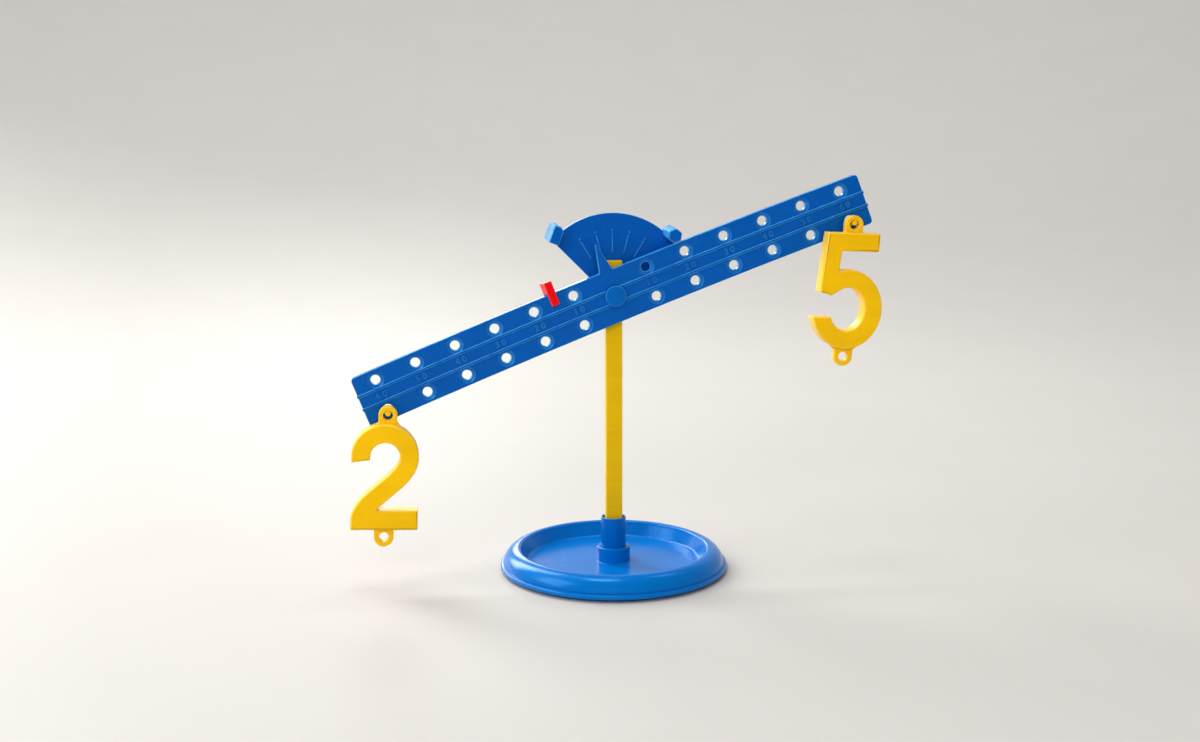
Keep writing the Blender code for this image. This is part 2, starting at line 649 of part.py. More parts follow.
def two_path(top):
    """Middle line of the 2's bowl and diagonal, from the left terminal to inside the foot."""
    outer = TWO_WIDTH / 2
    mean = outer - DIGIT_STROKE / 2
    centre = top - outer
    path = arc(TWO_SHIFT, centre, mean, mean, TWO_START, TWO_TURN, BOWL_STEPS)
    x0, z0 = path[-1]
    turn = math.radians(TWO_TURN)
    x1, z1 = x0 + TWO_REACH * math.sin(turn), z0 - TWO_REACH * math.cos(turn)
    end_x, end_z = TWO_SHIFT - mean, top - TWO_HEIGHT + TWO_FOOT / 2
    heel = (end_x + TWO_HEEL, end_z + TWO_FOOT)
    return path + bezier((x0, z0), (x1, z1), heel, (end_x, end_z), DIAGONAL_STEPS)


def number_2(seat):
    top = -RING_DROP - EAR_RISE
    foot = top - TWO_HEIGHT
    obj = plate("number_2", [stroke(two_path(top), DIGIT_STROKE / 2)], DIGIT_FRONT, DIGIT_BACK)
    left, right = TWO_SHIFT - TWO_WIDTH / 2, TWO_SHIFT + TWO_WIDTH / 2
    bar = box("two_foot", (left, DIGIT_FRONT, foot), (right, DIGIT_BACK, foot + TWO_FOOT))
    boolean(obj, place(bar, seat, True), "UNION")
    add_rings(obj, seat, TWO_SHIFT, top, foot)
    return place(finish(obj, "number_2", YELLOW, 0.35), seat)


def five_outline(top, inset):
    """One closed outline of the 5, drawn in from its edges by the inset."""
    centre = top - FIVE_HEIGHT + FIVE_BOWL_HEIGHT / 2
    outer_x, outer_z = FIVE_BOWL_WIDTH / 2 - inset, FIVE_BOWL_HEIGHT / 2 - inset
    inner_x, inner_z = outer_x - DIGIT_STROKE + 2 * inset, outer_z - DIGIT_STROKE + 2 * inset
    left = FIVE_SHIFT - FIVE_BAR_LEFT + inset
    right = FIVE_SHIFT + FIVE_BAR_RIGHT - inset
    bar_foot = top - DIGIT_STROKE + inset
    stem = left + FIVE_STEM - 2 * inset
    foot_left = left - FIVE_STEM_SLANT
    foot_right = foot_left + FIVE_STEM_FOOT - 2 * inset
    foot = centre + FIVE_STEM_RISE + inset
    join = math.degrees(math.acos((stem - FIVE_STEM_LEAN - FIVE_SHIFT) / outer_x))
    cut = -FIVE_TERMINAL_DROP - inset
    outer_end = -180.0 - math.degrees(math.asin(cut / outer_z))
    inner_end = -180.0 - math.degrees(math.asin(cut / inner_z))
    outline = [(left, top - inset), (right, top - inset), (right, bar_foot), (stem, bar_foot)]
    outline += arc(FIVE_SHIFT, centre, outer_x, outer_z, join, outer_end, BOWL_STEPS)
    outline += arc(FIVE_SHIFT, centre, inner_x, inner_z, inner_end, FIVE_INNER_START, BOWL_INNER_STEPS)
    outline += [(foot_right, foot - FIVE_STEM_CUT), (foot_left, foot)]
    return outline


def number_5(seat):
    top = -RING_DROP - EAR_RISE
    obj = plate("number_5", [five_outline(top, 0.0)], DIGIT_FRONT, DIGIT_BACK)
    add_rings(obj, seat, FIVE_SHIFT, top, top - FIVE_HEIGHT)
    front, back = DIGIT_BACK - CORE_DEPTH, DIGIT_BACK + DIGIT_DEPTH
    core = plate("five_core", [five_outline(top, CORE_WALL)], front, back)
    boolean(obj, place(core, seat, True))
    return place(finish(obj, "number_5", YELLOW, 0.35), seat)


def digit_seat(name, along):
    """Upright axis of a hook that rests on the lower edge of a hole in the beam's lower row."""
    drop = ROW_OFFSET + sag(along)
    x = along * math.cos(BEAM_TILT) + drop * math.sin(BEAM_TILT)
    z = PIVOT_HEIGHT + along * math.sin(BEAM_TILT) - drop * math.cos(BEAM_TILT) - HOOK_DROP
    return axis_empty(name, (x, 0.0, z))


def leaning(name, seat):
    """Frame of a digit that hangs a little off plumb on its hook."""
    return axis_empty(name, (0.0, 0.0, 0.0), -DIGIT_LEAN, seat)


def build():
    base_dish()
    post_socket()
    post()
    fan_scale()
    pivot_pieces()
    axis = axis_empty("beam_pivot", (0.0, 0.0, PIVOT_HEIGHT), BEAM_TILT)
    beam(axis)
    rider(axis)
    left = digit_seat("hook_left_axis", -LAST_HOLE)
    right = digit_seat("hook_right_axis", LAST_HOLE)
    hook("hook_left", left)
    hook("hook_right", right)
    number_2(leaning("number_2_lean", left))
    number_5(leaning("number_5_lean", right))
    bpy.context.view_layer.update()


build()
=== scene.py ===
"""Number balance: the moulded toy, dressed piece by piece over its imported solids. Metres, +Z up."""
import math

import bmesh
import bpy
from mathutils import Matrix, Vector
from mathutils.geometry import tessellate_polygon


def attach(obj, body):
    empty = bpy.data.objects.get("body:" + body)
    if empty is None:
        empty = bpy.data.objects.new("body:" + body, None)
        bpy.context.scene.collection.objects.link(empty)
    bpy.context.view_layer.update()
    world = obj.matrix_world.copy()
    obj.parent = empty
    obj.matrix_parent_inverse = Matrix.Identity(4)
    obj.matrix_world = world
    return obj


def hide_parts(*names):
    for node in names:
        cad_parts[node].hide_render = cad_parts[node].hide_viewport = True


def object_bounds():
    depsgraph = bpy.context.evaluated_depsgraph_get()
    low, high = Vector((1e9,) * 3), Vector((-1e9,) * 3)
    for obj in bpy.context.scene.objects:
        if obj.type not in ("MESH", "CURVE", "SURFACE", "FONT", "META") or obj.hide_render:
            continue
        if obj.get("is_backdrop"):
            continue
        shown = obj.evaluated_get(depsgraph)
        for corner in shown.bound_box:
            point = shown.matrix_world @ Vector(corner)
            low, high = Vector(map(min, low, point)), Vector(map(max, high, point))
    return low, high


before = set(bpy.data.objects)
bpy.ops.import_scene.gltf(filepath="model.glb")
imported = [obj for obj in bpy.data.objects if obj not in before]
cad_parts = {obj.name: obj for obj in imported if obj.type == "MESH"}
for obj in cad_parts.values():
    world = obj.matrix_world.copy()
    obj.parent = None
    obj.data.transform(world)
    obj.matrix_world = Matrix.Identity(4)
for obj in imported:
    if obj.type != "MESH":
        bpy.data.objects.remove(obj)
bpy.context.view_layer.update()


# Camera: a standing look over the table from the balance's left, slightly down on the dish.
EYE = Vector((-0.16431, -1.02772, 0.32768))
LOOK_RIGHT = math.radians(8.772)
LOOK_DOWN = math.radians(9.366)
ROLL = math.radians(-0.085)
FOCAL_LENGTH = 41.2
SENSOR_WIDTH = 36.0
SHIFT_RIGHT = -0.005

lens = bpy.data.cameras.new("camera")
lens.lens = FOCAL_LENGTH
lens.sensor_width = SENSOR_WIDTH
lens.shift_x = SHIFT_RIGHT
camera = bpy.data.objects.new("camera", lens)
camera.location = EYE
level = math.cos(LOOK_DOWN)
gaze = Vector((math.sin(LOOK_RIGHT) * level, math.cos(LOOK_RIGHT) * level, -math.sin(LOOK_DOWN)))
camera.rotation_euler = gaze.to_track_quat("-Z", "Y").to_euler()
camera.rotation_euler.rotate_axis("Z", ROLL)
bpy.context.scene.collection.objects.link(camera)
bpy.context.scene.camera = camera
bpy.context.scene.view_settings.view_transform = "Standard"


# Base dish: one thin injection moulding in glossy blue polypropylene, with a rolled rim, a foot bead
# and a raised collar in the middle for the socket. It stands loose on the table.
GAP = 0.0003
BASE_RADIUS = 0.0885
LIP_WIDTH = 0.0015
LIP_HEIGHT = 0.0022
CREST_RADIUS = 0.0745
CREST_HEIGHT = 0.0172
CREST_INNER = 0.0024
CREST_DROP = 0.0022
WALL_LEAN = 0.0045
FLOOR_FILLET = 0.0020
FLOOR_HEIGHT = 0.0060
DISH_WALL = 0.0022
COLLAR_RADIUS = 0.0130
COLLAR_HEIGHT = 0.0176
COLLAR_FLOOR = 0.0040
COLLAR_MOUTH = 0.0004
COLLAR_EDGE = 0.0008
COLLAR_FILLET = 0.0005
SOCKET_RADIUS = 0.00965
FOOT_RECESS = 0.0024
FOOT_INSET = 0.0052
BEAD_TOP = 0.0056
BEAD_WIDTH = 0.0012
BEAD_EDGE = 0.0012
BEAD_FOOT = 0.0009
BEAD_FILLET = 0.0005
SKIRT_END = 19
SKIRT_INSIDE_START = 12
SKIRT_EXTRA = 0.0006
DISH_STEPS = 192
SMOOTH_BELOW = math.radians(40.0)
TINT_LEAST = 0.1
BASE_BLUE = (0.000, 0.150, 0.530, 1.0)
# Pale blue toward which edges and sides are drawn as painted highlight; it also tints the reflection.
HIGHLIGHT_BLUE = (0.08, 0.50, 0.95, 1.0)


def add_node(tree, kind, settings=(), **inputs):
    """Shader node with its settings, its named inputs set or linked."""
    made = tree.nodes.new(kind)
    for key, value in settings:
        setattr(made, key, value)
    for key, value in inputs.items():
        socket = made.inputs[key.replace("_", " ")]
        if isinstance(value, bpy.types.NodeSocket):
            tree.links.new(value, socket)
        else:
            socket.default_value = value
    return made


def maths(tree, operation, first, second):
    made = tree.nodes.new("ShaderNodeMath")
    made.operation = operation
    for socket, value in zip(made.inputs, (first, second)):
        if isinstance(value, bpy.types.NodeSocket):
            tree.links.new(value, socket)
        else:
            socket.default_value = value
    return made.outputs[0]


def remap(tree, value, low, high, to_low, to_high):
    return add_node(tree, "ShaderNodeMapRange", Value=value, From_Min=low, From_Max=high,
                    To_Min=to_low, To_Max=to_high).outputs[0]


def noise(tree, place, scale, detail, **inputs):
    return add_node(tree, "ShaderNodeTexNoise", Vector=place, Scale=scale, Detail=detail, **inputs).outputs[0]


def moulded_finish_and_highlight():
    """Group for moulded plastic: clouded pigment, flow streaks, hand smudges, fine scuffs, and edges and
    sides painted paler as highlight, varied by noise like wear.
    """
    tree = bpy.data.node_groups.new("moulded_plastic_finish_and_highlight", "ShaderNodeTree")
    face = tree.interface
    face.new_socket("Colour", in_out="INPUT", socket_type="NodeSocketColor")
    face.new_socket("Edge Colour", in_out="INPUT", socket_type="NodeSocketColor")
    strengths = {"Roughness": 0.35, "Clouding": 0.08, "Smudges": 0.06, "Scuffs": 0.3, "Edges": 0.25}
    for label, value in strengths.items():
        face.new_socket(label, in_out="INPUT", socket_type="NodeSocketFloat").default_value = value
    face.new_socket("Colour", in_out="OUTPUT", socket_type="NodeSocketColor")
    face.new_socket("Roughness", in_out="OUTPUT", socket_type="NodeSocketFloat")
    face.new_socket("Height", in_out="OUTPUT", socket_type="NodeSocketFloat")
    given = tree.nodes.new("NodeGroupInput")
    result = tree.nodes.new("NodeGroupOutput")
    place = tree.nodes.new("ShaderNodeTexCoord").outputs["Object"]

    cloud = noise(tree, place, 26.0, 4.0, Roughness=0.6)
    stretch = add_node(tree, "ShaderNodeMapping", Vector=place, Rotation=(0.4, 0.9, 0.2),
                       Scale=(9.0, 60.0, 60.0))
    flow = noise(tree, stretch.outputs[0], 2.2, 3.0, Distortion=0.6)
    smudge = noise(tree, place, 55.0, 5.0, Distortion=1.2)
    grain = noise(tree, place, 1500.0, 2.0)
    streaks = []
    for turn in ((0.3, 0.2, 0.9), (1.2, 0.7, 0.1)):
        along = add_node(tree, "ShaderNodeMapping", Vector=place, Rotation=turn, Scale=(30.0, 1400.0, 1400.0))
        line = noise(tree, along.outputs[0], 1.0, 1.0)
        streaks.append(remap(tree, line, 0.68, 0.74, 0.0, 1.0))
    patch = remap(tree, smudge, 0.46, 0.6, 0.0, 1.0)
    scuff = maths(tree, "MULTIPLY", maths(tree, "MAXIMUM", *streaks), patch)
    scuff = maths(tree, "MULTIPLY", scuff, given.outputs["Scuffs"])

    drift = maths(tree, "MULTIPLY", maths(tree, "SUBTRACT", flow, 0.5), 0.7)
    tone = maths(tree, "ADD", maths(tree, "SUBTRACT", cloud, 0.5), drift)
    tone = maths(tree, "MULTIPLY", tone, maths(tree, "MULTIPLY", given.outputs["Clouding"], 4.0))
    clouded = add_node(tree, "ShaderNodeHueSaturation", Value=maths(tree, "ADD", tone, 1.0),
                       Color=given.outputs["Colour"])
    # Painted highlight: the 'edge' attribute marks rounded edges, side faces and hole rims, and these are
    # drawn toward the pale edge colour. The smudge noise varies this like wear, and real scuffs are added on
    # top.
    edge = add_node(tree, "ShaderNodeAttribute", [("attribute_name", "edge")]).outputs["Fac"]
    wear_and_highlight = maths(tree, "MULTIPLY", edge, remap(tree, smudge, 0.35, 0.62, 0.45, 1.0))
    wear_and_highlight = maths(tree, "MULTIPLY", wear_and_highlight, given.outputs["Edges"])
    pale = maths(tree, "MAXIMUM", wear_and_highlight, maths(tree, "MULTIPLY", scuff, 0.35))
    lighter = add_node(tree, "ShaderNodeMix", [("data_type", "RGBA")])
    tree.links.new(pale, lighter.inputs[0])
    tree.links.new(clouded.outputs[0], lighter.inputs[6])
    tree.links.new(given.outputs["Edge Colour"], lighter.inputs[7])
    tree.links.new(lighter.outputs[2], result.inputs["Colour"])

    smear = maths(tree, "MULTIPLY", given.outputs["Smudges"], 4.0)
    smear = maths(tree, "MULTIPLY", maths(tree, "SUBTRACT", smudge, 0.5), smear)
    rough = maths(tree, "ADD", given.outputs["Roughness"], smear)
    rough = maths(tree, "ADD", rough, maths(tree, "MULTIPLY", scuff, 0.5))
    tree.links.new(rough, result.inputs["Roughness"])
    height = maths(tree, "SUBTRACT", maths(tree, "ADD", maths(tree, "MULTIPLY", grain, 0.35), cloud), scuff)
    tree.links.new(height, result.inputs["Height"])
    return tree


plastic_finish_and_highlight = moulded_finish_and_highlight()


def plastic(name, colour, roughness, edge, specular=0.4, bump=0.2, **finish):
    """Moulded plastic in one colour, with the shared finish and its painted edge highlight at its own
    strength; the edge colour is the painted-highlight colour and also tints the reflection.
    """
    material = bpy.data.materials.new(name)
    material.use_nodes = True
    tree = material.node_tree
    shader = tree.nodes["Principled BSDF"]
    shader.inputs["Specular IOR Level"].default_value = specular
    shader.inputs["Specular Tint"].default_value = [TINT_LEAST + (1 - TINT_LEAST) * share for share in edge]
    surface = add_node(tree, "ShaderNodeGroup", [("node_tree", plastic_finish_and_highlight)], Colour=colour,
                       Edge_Colour=edge, Roughness=roughness, **finish)
    relief = add_node(tree, "ShaderNodeBump", Strength=bump, Distance=0.0004,
                      Height=surface.outputs["Height"])
    tree.links.new(surface.outputs["Colour"], shader.inputs["Base Color"])
    tree.links.new(surface.outputs["Roughness"], shader.inputs["Roughness"])
    tree.links.new(relief.outputs[0], shader.inputs["Normal"])
    return material


def new_shell():
    """Empty mesh whose corners carry how far each is painted toward the pale highlight colour, as on rounded
    edges and side faces.
    """
    shell = bmesh.new()
    shell.verts.layers.float.new("edge")
    return shell


def corner(shell, place, wear_and_highlight=0.0):
    made = shell.verts.new(place)
    made[shell.verts.layers.float["edge"]] = wear_and_highlight
    return made


def piece(name, shell, material, body, slot, *nodes):
    """Finished piece from its mesh: shaded, placed on its body and standing for its solids."""
    bmesh.ops.recalc_face_normals(shell, faces=shell.faces)
    mesh = bpy.data.meshes.new(name)
    shell.to_mesh(mesh)
    shell.free()
    mesh.materials.append(material)
    mesh.shade_smooth()
    mesh.set_sharp_from_angle(angle=SMOOTH_BELOW)
    made = bpy.data.objects.new(name, mesh)
    bpy.context.scene.collection.objects.link(made)
    shading = made.modifiers.new("even_shading", "WEIGHTED_NORMAL")
    shading.keep_sharp = True
    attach(made, body)
    if nodes:
        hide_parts(*nodes)
    return made


def arc(x, z, rx, rz, start, stop, steps):
    """Points of an arc in degrees, both ends included."""
    angles = [math.radians(start + (stop - start) * i / steps) for i in range(steps + 1)]
    return [(x + rx * math.cos(a), z + rz * math.sin(a), 0.0) for a in angles]


def softened(corners, closed=False, steps=4):
    """Line through (x, z, radius) corners, each rounded to its radius, as (x, z, how far on the rounding)."""
    points = []
    for i, (x, z, radius) in enumerate(corners):
        here = Vector((x, z))
        if radius <= 0.0 or (not closed and i in (0, len(corners) - 1)):
            points.append((x, z, 0.0))
            continue
        before = (Vector(corners[i - 1][:2]) - here).normalized()
        after = (Vector(corners[(i + 1) % len(corners)][:2]) - here).normalized()
        half = before.angle(after) / 2
        middle = here + (before + after).normalized() * (radius / math.sin(half))
        first = here + before * (radius / math.tan(half)) - middle
        last = here + after * (radius / math.tan(half)) - middle
        sweep = first.angle_signed(last)
        for k in range(steps + 1):
            spoke = first.copy()
            spoke.rotate(Matrix.Rotation(-sweep * k / steps, 2))
            points.append((*(middle + spoke), math.sin(math.pi * k / steps)))
    return points


def turned(shell, profile, steps):
    """Body of revolution about Z from a closed profile, or from one that starts and ends on the axis."""
    rings = []
    for radius, height, wear_and_highlight in profile:
        if radius < 1e-6:
            rings.append([corner(shell, (0.0, 0.0, height))])
            continue
        angles = [2 * math.pi * i / steps for i in range(steps)]
        around = [(radius * math.cos(a), radius * math.sin(a), height) for a in angles]
        rings.append([corner(shell, place, wear_and_highlight) for place in around])
    pairs = list(zip(rings, rings[1:]))
    if profile[0][0] > 1e-6:
        pairs.append((rings[-1], rings[0]))
    for above, below in pairs:
        for i in range(steps):
            spots = [above[i % len(above)], above[(i + 1) % len(above)]]
            spots += [below[(i + 1) % len(below)], below[i % len(below)]]
            if len(set(spots)) > 2:
                shell.faces.new(list(dict.fromkeys(spots)))


rise = CREST_HEIGHT - LIP_HEIGHT
reach = BASE_RADIUS - LIP_WIDTH - CREST_RADIUS
wall_top = CREST_RADIUS - CREST_INNER
floor_edge = wall_top - WALL_LEAN
under = FLOOR_HEIGHT - DISH_WALL
bore = SOCKET_RADIUS + GAP
dish = [(0.0, COLLAR_FLOOR, 0.0), (bore, COLLAR_FLOOR, 0.0), (bore, COLLAR_HEIGHT, COLLAR_MOUTH)]
dish += [(COLLAR_RADIUS, COLLAR_HEIGHT, COLLAR_EDGE), (COLLAR_RADIUS, FLOOR_HEIGHT, COLLAR_FILLET)]
dish += [(floor_edge, FLOOR_HEIGHT, FLOOR_FILLET)]
dish += arc(CREST_RADIUS, CREST_HEIGHT - CREST_DROP, CREST_INNER, CREST_DROP, 180, 90, 10)
dish += arc(CREST_RADIUS, LIP_HEIGHT, reach, rise, 90, SKIRT_END, 30)[1:]
dish += [(BASE_RADIUS - LIP_WIDTH - BEAD_WIDTH, BEAD_TOP, BEAD_FILLET), (BASE_RADIUS, BEAD_TOP, BEAD_EDGE)]
dish += [(BASE_RADIUS, FOOT_RECESS, BEAD_FOOT), (BASE_RADIUS - FOOT_INSET, FOOT_RECESS, 0.0)]
dish += [(BASE_RADIUS - FOOT_INSET, 0.0, 0.0), (BASE_RADIUS - FOOT_INSET - DISH_WALL, 0.0, 0.0)]
dish += arc(CREST_RADIUS, LIP_HEIGHT, reach - DISH_WALL - SKIRT_EXTRA, rise - DISH_WALL,
            SKIRT_INSIDE_START, 90, 20)
dish += [(wall_top + DISH_WALL, CREST_HEIGHT - DISH_WALL - CREST_DROP, 0.0)]
dish += [(floor_edge + DISH_WALL, under, 0.0)]
dish += [(COLLAR_RADIUS, under, 0.0), (COLLAR_RADIUS, 0.0, 0.0), (0.0, 0.0, 0.0)]
shell = new_shell()
turned(shell, softened(dish, steps=6), DISH_STEPS)
base_plastic = plastic("base_blue_plastic", BASE_BLUE, 0.20, HIGHLIGHT_BLUE, specular=0.5, bump=0.05,
                       Clouding=0.04, Smudges=0.04, Scuffs=0.12, Edges=0.0)
piece("dish_moulding", shell, base_plastic, "stand", "base_blue", "base_dish")


# Socket: a blue moulded tube pressed into the collar. Its open top takes the foot of the post with room
# to spare.
SOCKET_TOP = 0.0412
SOCKET_WALL = 0.00135
SOCKET_FLOOR = 0.0025
SOCKET_EDGE = 0.0006
SOCKET_MOUTH = 0.0005
SOCKET_BLUE = (0.000, 0.125, 0.480, 1.0)

bottom = COLLAR_FLOOR + GAP
bore = SOCKET_RADIUS - SOCKET_WALL
tube = [(0.0, bottom + SOCKET_FLOOR, 0.0), (bore, bottom + SOCKET_FLOOR, 0.0)]
tube += [(bore, SOCKET_TOP, SOCKET_MOUTH)]
tube += [(SOCKET_RADIUS, SOCKET_TOP, SOCKET_EDGE), (SOCKET_RADIUS, bottom, 0.0), (0.0, bottom, 0.0)]
shell = new_shell()
turned(shell, softened(tube), 96)
socket_plastic = plastic("socket_blue_plastic", SOCKET_BLUE, 0.24, HIGHLIGHT_BLUE, bump=0.1,
                         Clouding=0.05, Smudges=0.05, Scuffs=0.2, Edges=0.3)
piece("socket_tube", shell, socket_plastic, "stand", "base_blue", "post_socket")


# Post: a flat bar of yellow plastic with softened edges and sides painted paler as highlight, standing
# in the socket. The pivot pin goes through it.
POST_WIDTH = 0.0130
POST_DEPTH = 0.0080
POST_ROUND = 0.0011
POST_RISE = 0.0260
POST_END = 0.0008
# Share of painted highlight on the side faces of plates: their sides are drawn paler as if lit.
SIDE_HIGHLIGHT = 0.8
MITRE_LEAST = 0.35
PIVOT_HEIGHT = 0.2150
POST_YELLOW = (0.850, 0.510, 0.000, 1.0)
# Pale yellow toward which edges and sides are drawn as painted highlight; it also tints the reflection.
HIGHLIGHT_YELLOW = (1.0, 0.82, 0.25, 1.0)


def turned_round(loop):
    """The same outline walked the other way, as a hole needs."""
    return loop[::-1]


def offset(loop, inset):
    """Outline moved to its left, into the material, with its corners kept."""
    moved = []
    for i, (x, z, _) in enumerate(loop):
        before, after = loop[i - 1], loop[(i + 1) % len(loop)]
        first = Vector((before[1] - z, x - before[0])).normalized()
        second = Vector((z - after[1], after[0] - x)).normalized()
        middle = (first + second).normalized()
        push = inset / max(middle.dot(first), MITRE_LEAST)
        moved.append((x + middle.x * push, z + middle.y * push))
    return moved


def wall(shell, loop, steps):
    """Skin that follows an outline through (inset, depth, painted highlight share) steps. Returns its first
    and last rings.
    """
    rings = []
    for inset, depth, wear_and_highlight in steps:
        rings.append([corner(shell, (x, depth, z), wear_and_highlight) for x, z in offset(loop, inset)])
    for near, far in zip(rings, rings[1:]):
        for i in range(len(loop)):
            shell.faces.new((near[i - 1], near[i], far[i], far[i - 1]))
    return rings[0], rings[-1]


def cap(shell, *rings):
    """Flat face inside the first ring, with the other rings as its holes."""
    corners = [spot for ring in rings for spot in ring]
    flat = [[Vector((spot.co.x, spot.co.z, 0.0)) for spot in ring] for ring in rings]
    for three in tessellate_polygon(flat):
        if len(set(three)) == 3:
            shell.faces.new([corners[k] for k in three])


def round_edge(depth, inward, radius, count=4, pale=SIDE_HIGHLIGHT):
    """One rounded edge, flat face to side, as (inset, depth, painted highlight share), the side face taking
    the pale share. Inward is +1 or -1 along Y.
    """
    turns = [math.pi / 2 * k / count for k in range(count + 1)]
    return [(radius * (1 - math.sin(a)), depth + inward * radius * (1 - math.cos(a)),
             max(math.sin(2 * a), pale * math.sin(a) ** 2)) for a in turns]


def slab(shell, outlines, front, back, radius, pale=SIDE_HIGHLIGHT):
    """Plate with rounded edges: its outline and then its holes."""
    steps = round_edge(front, 1, radius, pale=pale) + round_edge(back, -1, radius, pale=pale)[::-1]
    ends = [wall(shell, loop, steps) for loop in outlines]
    cap(shell, *[first for first, last in ends])
    cap(shell, *[last for first, last in ends])


def rectangle(low_x, low_z, high_x, high_z, radius, steps=4):
    spots = [(low_x, low_z, radius), (high_x, low_z, radius)]
    spots += [(high_x, high_z, radius), (low_x, high_z, radius)]
    return softened(spots, closed=True, steps=steps)


foot = COLLAR_FLOOR + GAP + SOCKET_FLOOR + GAP
shell = new_shell()
half = POST_WIDTH / 2
section = rectangle(-half, -POST_DEPTH / 2, half, POST_DEPTH / 2, POST_ROUND, 6)
slab(shell, [section], foot, PIVOT_HEIGHT + POST_RISE, POST_END)
# Painted highlight: the post's narrow sides are drawn fully toward the pale highlight yellow.
for spot in shell.verts:
    spot[shell.verts.layers.float["edge"]] = 1.0 if abs(spot.co.x) > half - POST_ROUND / 2 else 0.0
bmesh.ops.transform(shell, matrix=Matrix.Rotation(math.pi / 2, 4, "X"), verts=shell.verts)
post_plastic = plastic("post_yellow_plastic", POST_YELLOW, 0.32, HIGHLIGHT_YELLOW, bump=0.15,
                       Clouding=0.05, Smudges=0.05, Scuffs=0.25, Edges=0.35)
piece("post_bar", shell, post_plastic, "stand", "yellow", "post")


# Scale fan: a blue sector plate keyed to the back of the post, with five raised marks and a dot at each
# mark's end. Its two corner blocks stand forward over the beam's upper edge and stop its tilt.
BEAM_TILT = math.radians(21.1)
BEAM_SAG = 0.0029
BEAM_HALF_LENGTH = 0.2065
BEAM_HALF_HEIGHT = 0.0200
BEAM_FRONT = -0.0104
FAN_FRONT = POST_DEPTH / 2 + GAP
FAN_THICKNESS = 0.0030
FAN_BACK = FAN_FRONT + FAN_THICKNESS
FAN_RADIUS = 0.0617
FAN_APEX_DROP = 0.0050
FAN_HUB_RADIUS = 0.0085
FAN_EDGE = 0.0005
FAN_CORNER = 0.0006
FAN_RIGHT_REACH = 6.0
HUB_INSET = 0.0001
STOP_INNER = 0.0535
STOP_WIDTH = 0.0080
STOP_HEIGHT = 0.0137
STOP_CUT = 0.0026
STOP_LEAN = 0.0020
STOP_CORNER = 0.0008
STOP_CUT_CORNER = 0.0015
STOP_EDGE = 0.0009
KNOB_PLACE = 0.0588
KNOB_RADIUS = 0.0058
KNOB_CORNER = 0.0022
MARK_INNER = 0.0320
MARK_OUTER = 0.0470
MARK_STEP = math.radians(15.5)
MARK_WIDTH = 0.0011
MARK_HEIGHT = 0.0007
MARK_ROOT = 0.0010
MARK_EDGE = 0.0002
MARK_ROUND = 0.9
MARK_HIGHLIGHT = 0.5
DOT_RADIUS = 0.0009
DOT_GAP = 0.0018
BLUE = (0.000, 0.098, 0.470, 1.0)


def circle(x, z, radius, steps=48):
    return arc(x, z, radius, radius, 0, 360, steps)[:-1]


def seat(shell, x, z, tilt=0.0):
    """Moves a mesh drawn about the origin to its place in the XZ plane, tilted about Y."""
    matrix = Matrix.Translation((x, 0.0, z)) @ Matrix.Rotation(-tilt, 4, "Y")
    bmesh.ops.transform(shell, matrix=matrix, verts=shell.verts)


def sag(along):
    """How far the bowed beam hangs below a straight one."""
    return BEAM_SAG * (along / BEAM_HALF_LENGTH) ** 2


def joined(shell, other):
    """Adds another mesh to this one."""
    mesh = bpy.data.meshes.new("joined")
    other.to_mesh(mesh)
    other.free()
    shell.from_mesh(mesh)
    bpy.data.meshes.remove(mesh)


def stop_outline(low, side):
    """Left: a tall block with its inner upper corner cut off. Right: a rounded six-sided one."""
    if side < 0:
        outer, inner, high = -STOP_INNER - STOP_WIDTH, -STOP_INNER, low + STOP_HEIGHT
        spots = [(outer, low, STOP_CORNER), (inner, low, STOP_CORNER)]
        spots += [(inner, high - STOP_CUT, STOP_CUT_CORNER), (inner - STOP_CUT, high, STOP_CUT_CORNER)]
        spots += [(outer, high, STOP_CORNER)]
    else:
        middle = low + KNOB_RADIUS * math.cos(math.radians(30.0))
        corners = arc(KNOB_PLACE, middle, KNOB_RADIUS, KNOB_RADIUS, 0, 360, 6)[:-1]
        spots = [(x, z, KNOB_CORNER) for x, z, _ in corners]
    return softened(spots, closed=True, steps=5)


corner_x = (FAN_APEX_DROP + math.sqrt(2 * FAN_RADIUS ** 2 - FAN_APEX_DROP ** 2)) / 2
spread = math.degrees(math.acos(corner_x / FAN_RADIUS))
sector = arc(0.0, 0.0, FAN_RADIUS, FAN_RADIUS, spread - FAN_RIGHT_REACH, 180 - spread, 72)
sector[0] = (*sector[0][:2], FAN_CORNER)
sector[-1] = (*sector[-1][:2], FAN_CORNER)
sector += [(0.0, -FAN_APEX_DROP, 0.0)]
shell = new_shell()
slab(shell, [softened(sector, closed=True)], FAN_FRONT, FAN_BACK, FAN_EDGE)
slab(shell, [circle(0.0, 0.0, FAN_HUB_RADIUS, 64)], FAN_FRONT + HUB_INSET, FAN_BACK - HUB_INSET, FAN_EDGE)
half = MARK_WIDTH / 2
for k in range(-2, 3):
    mark = new_shell()
    ridge = rectangle(-half, MARK_INNER, half, MARK_OUTER, half * MARK_ROUND)
    for outline in (ridge, circle(0.0, MARK_OUTER + DOT_GAP, DOT_RADIUS, 16)):
        slab(mark, [outline], FAN_FRONT - MARK_HEIGHT, FAN_FRONT + MARK_ROOT, MARK_EDGE)
    # Painted highlight: the raised marks and dots are drawn halfway toward the pale highlight blue.
    for spot in mark.verts:
        spot[mark.verts.layers.float["edge"]] = MARK_HIGHLIGHT
    seat(mark, 0.0, 0.0, k * MARK_STEP)
    joined(shell, mark)
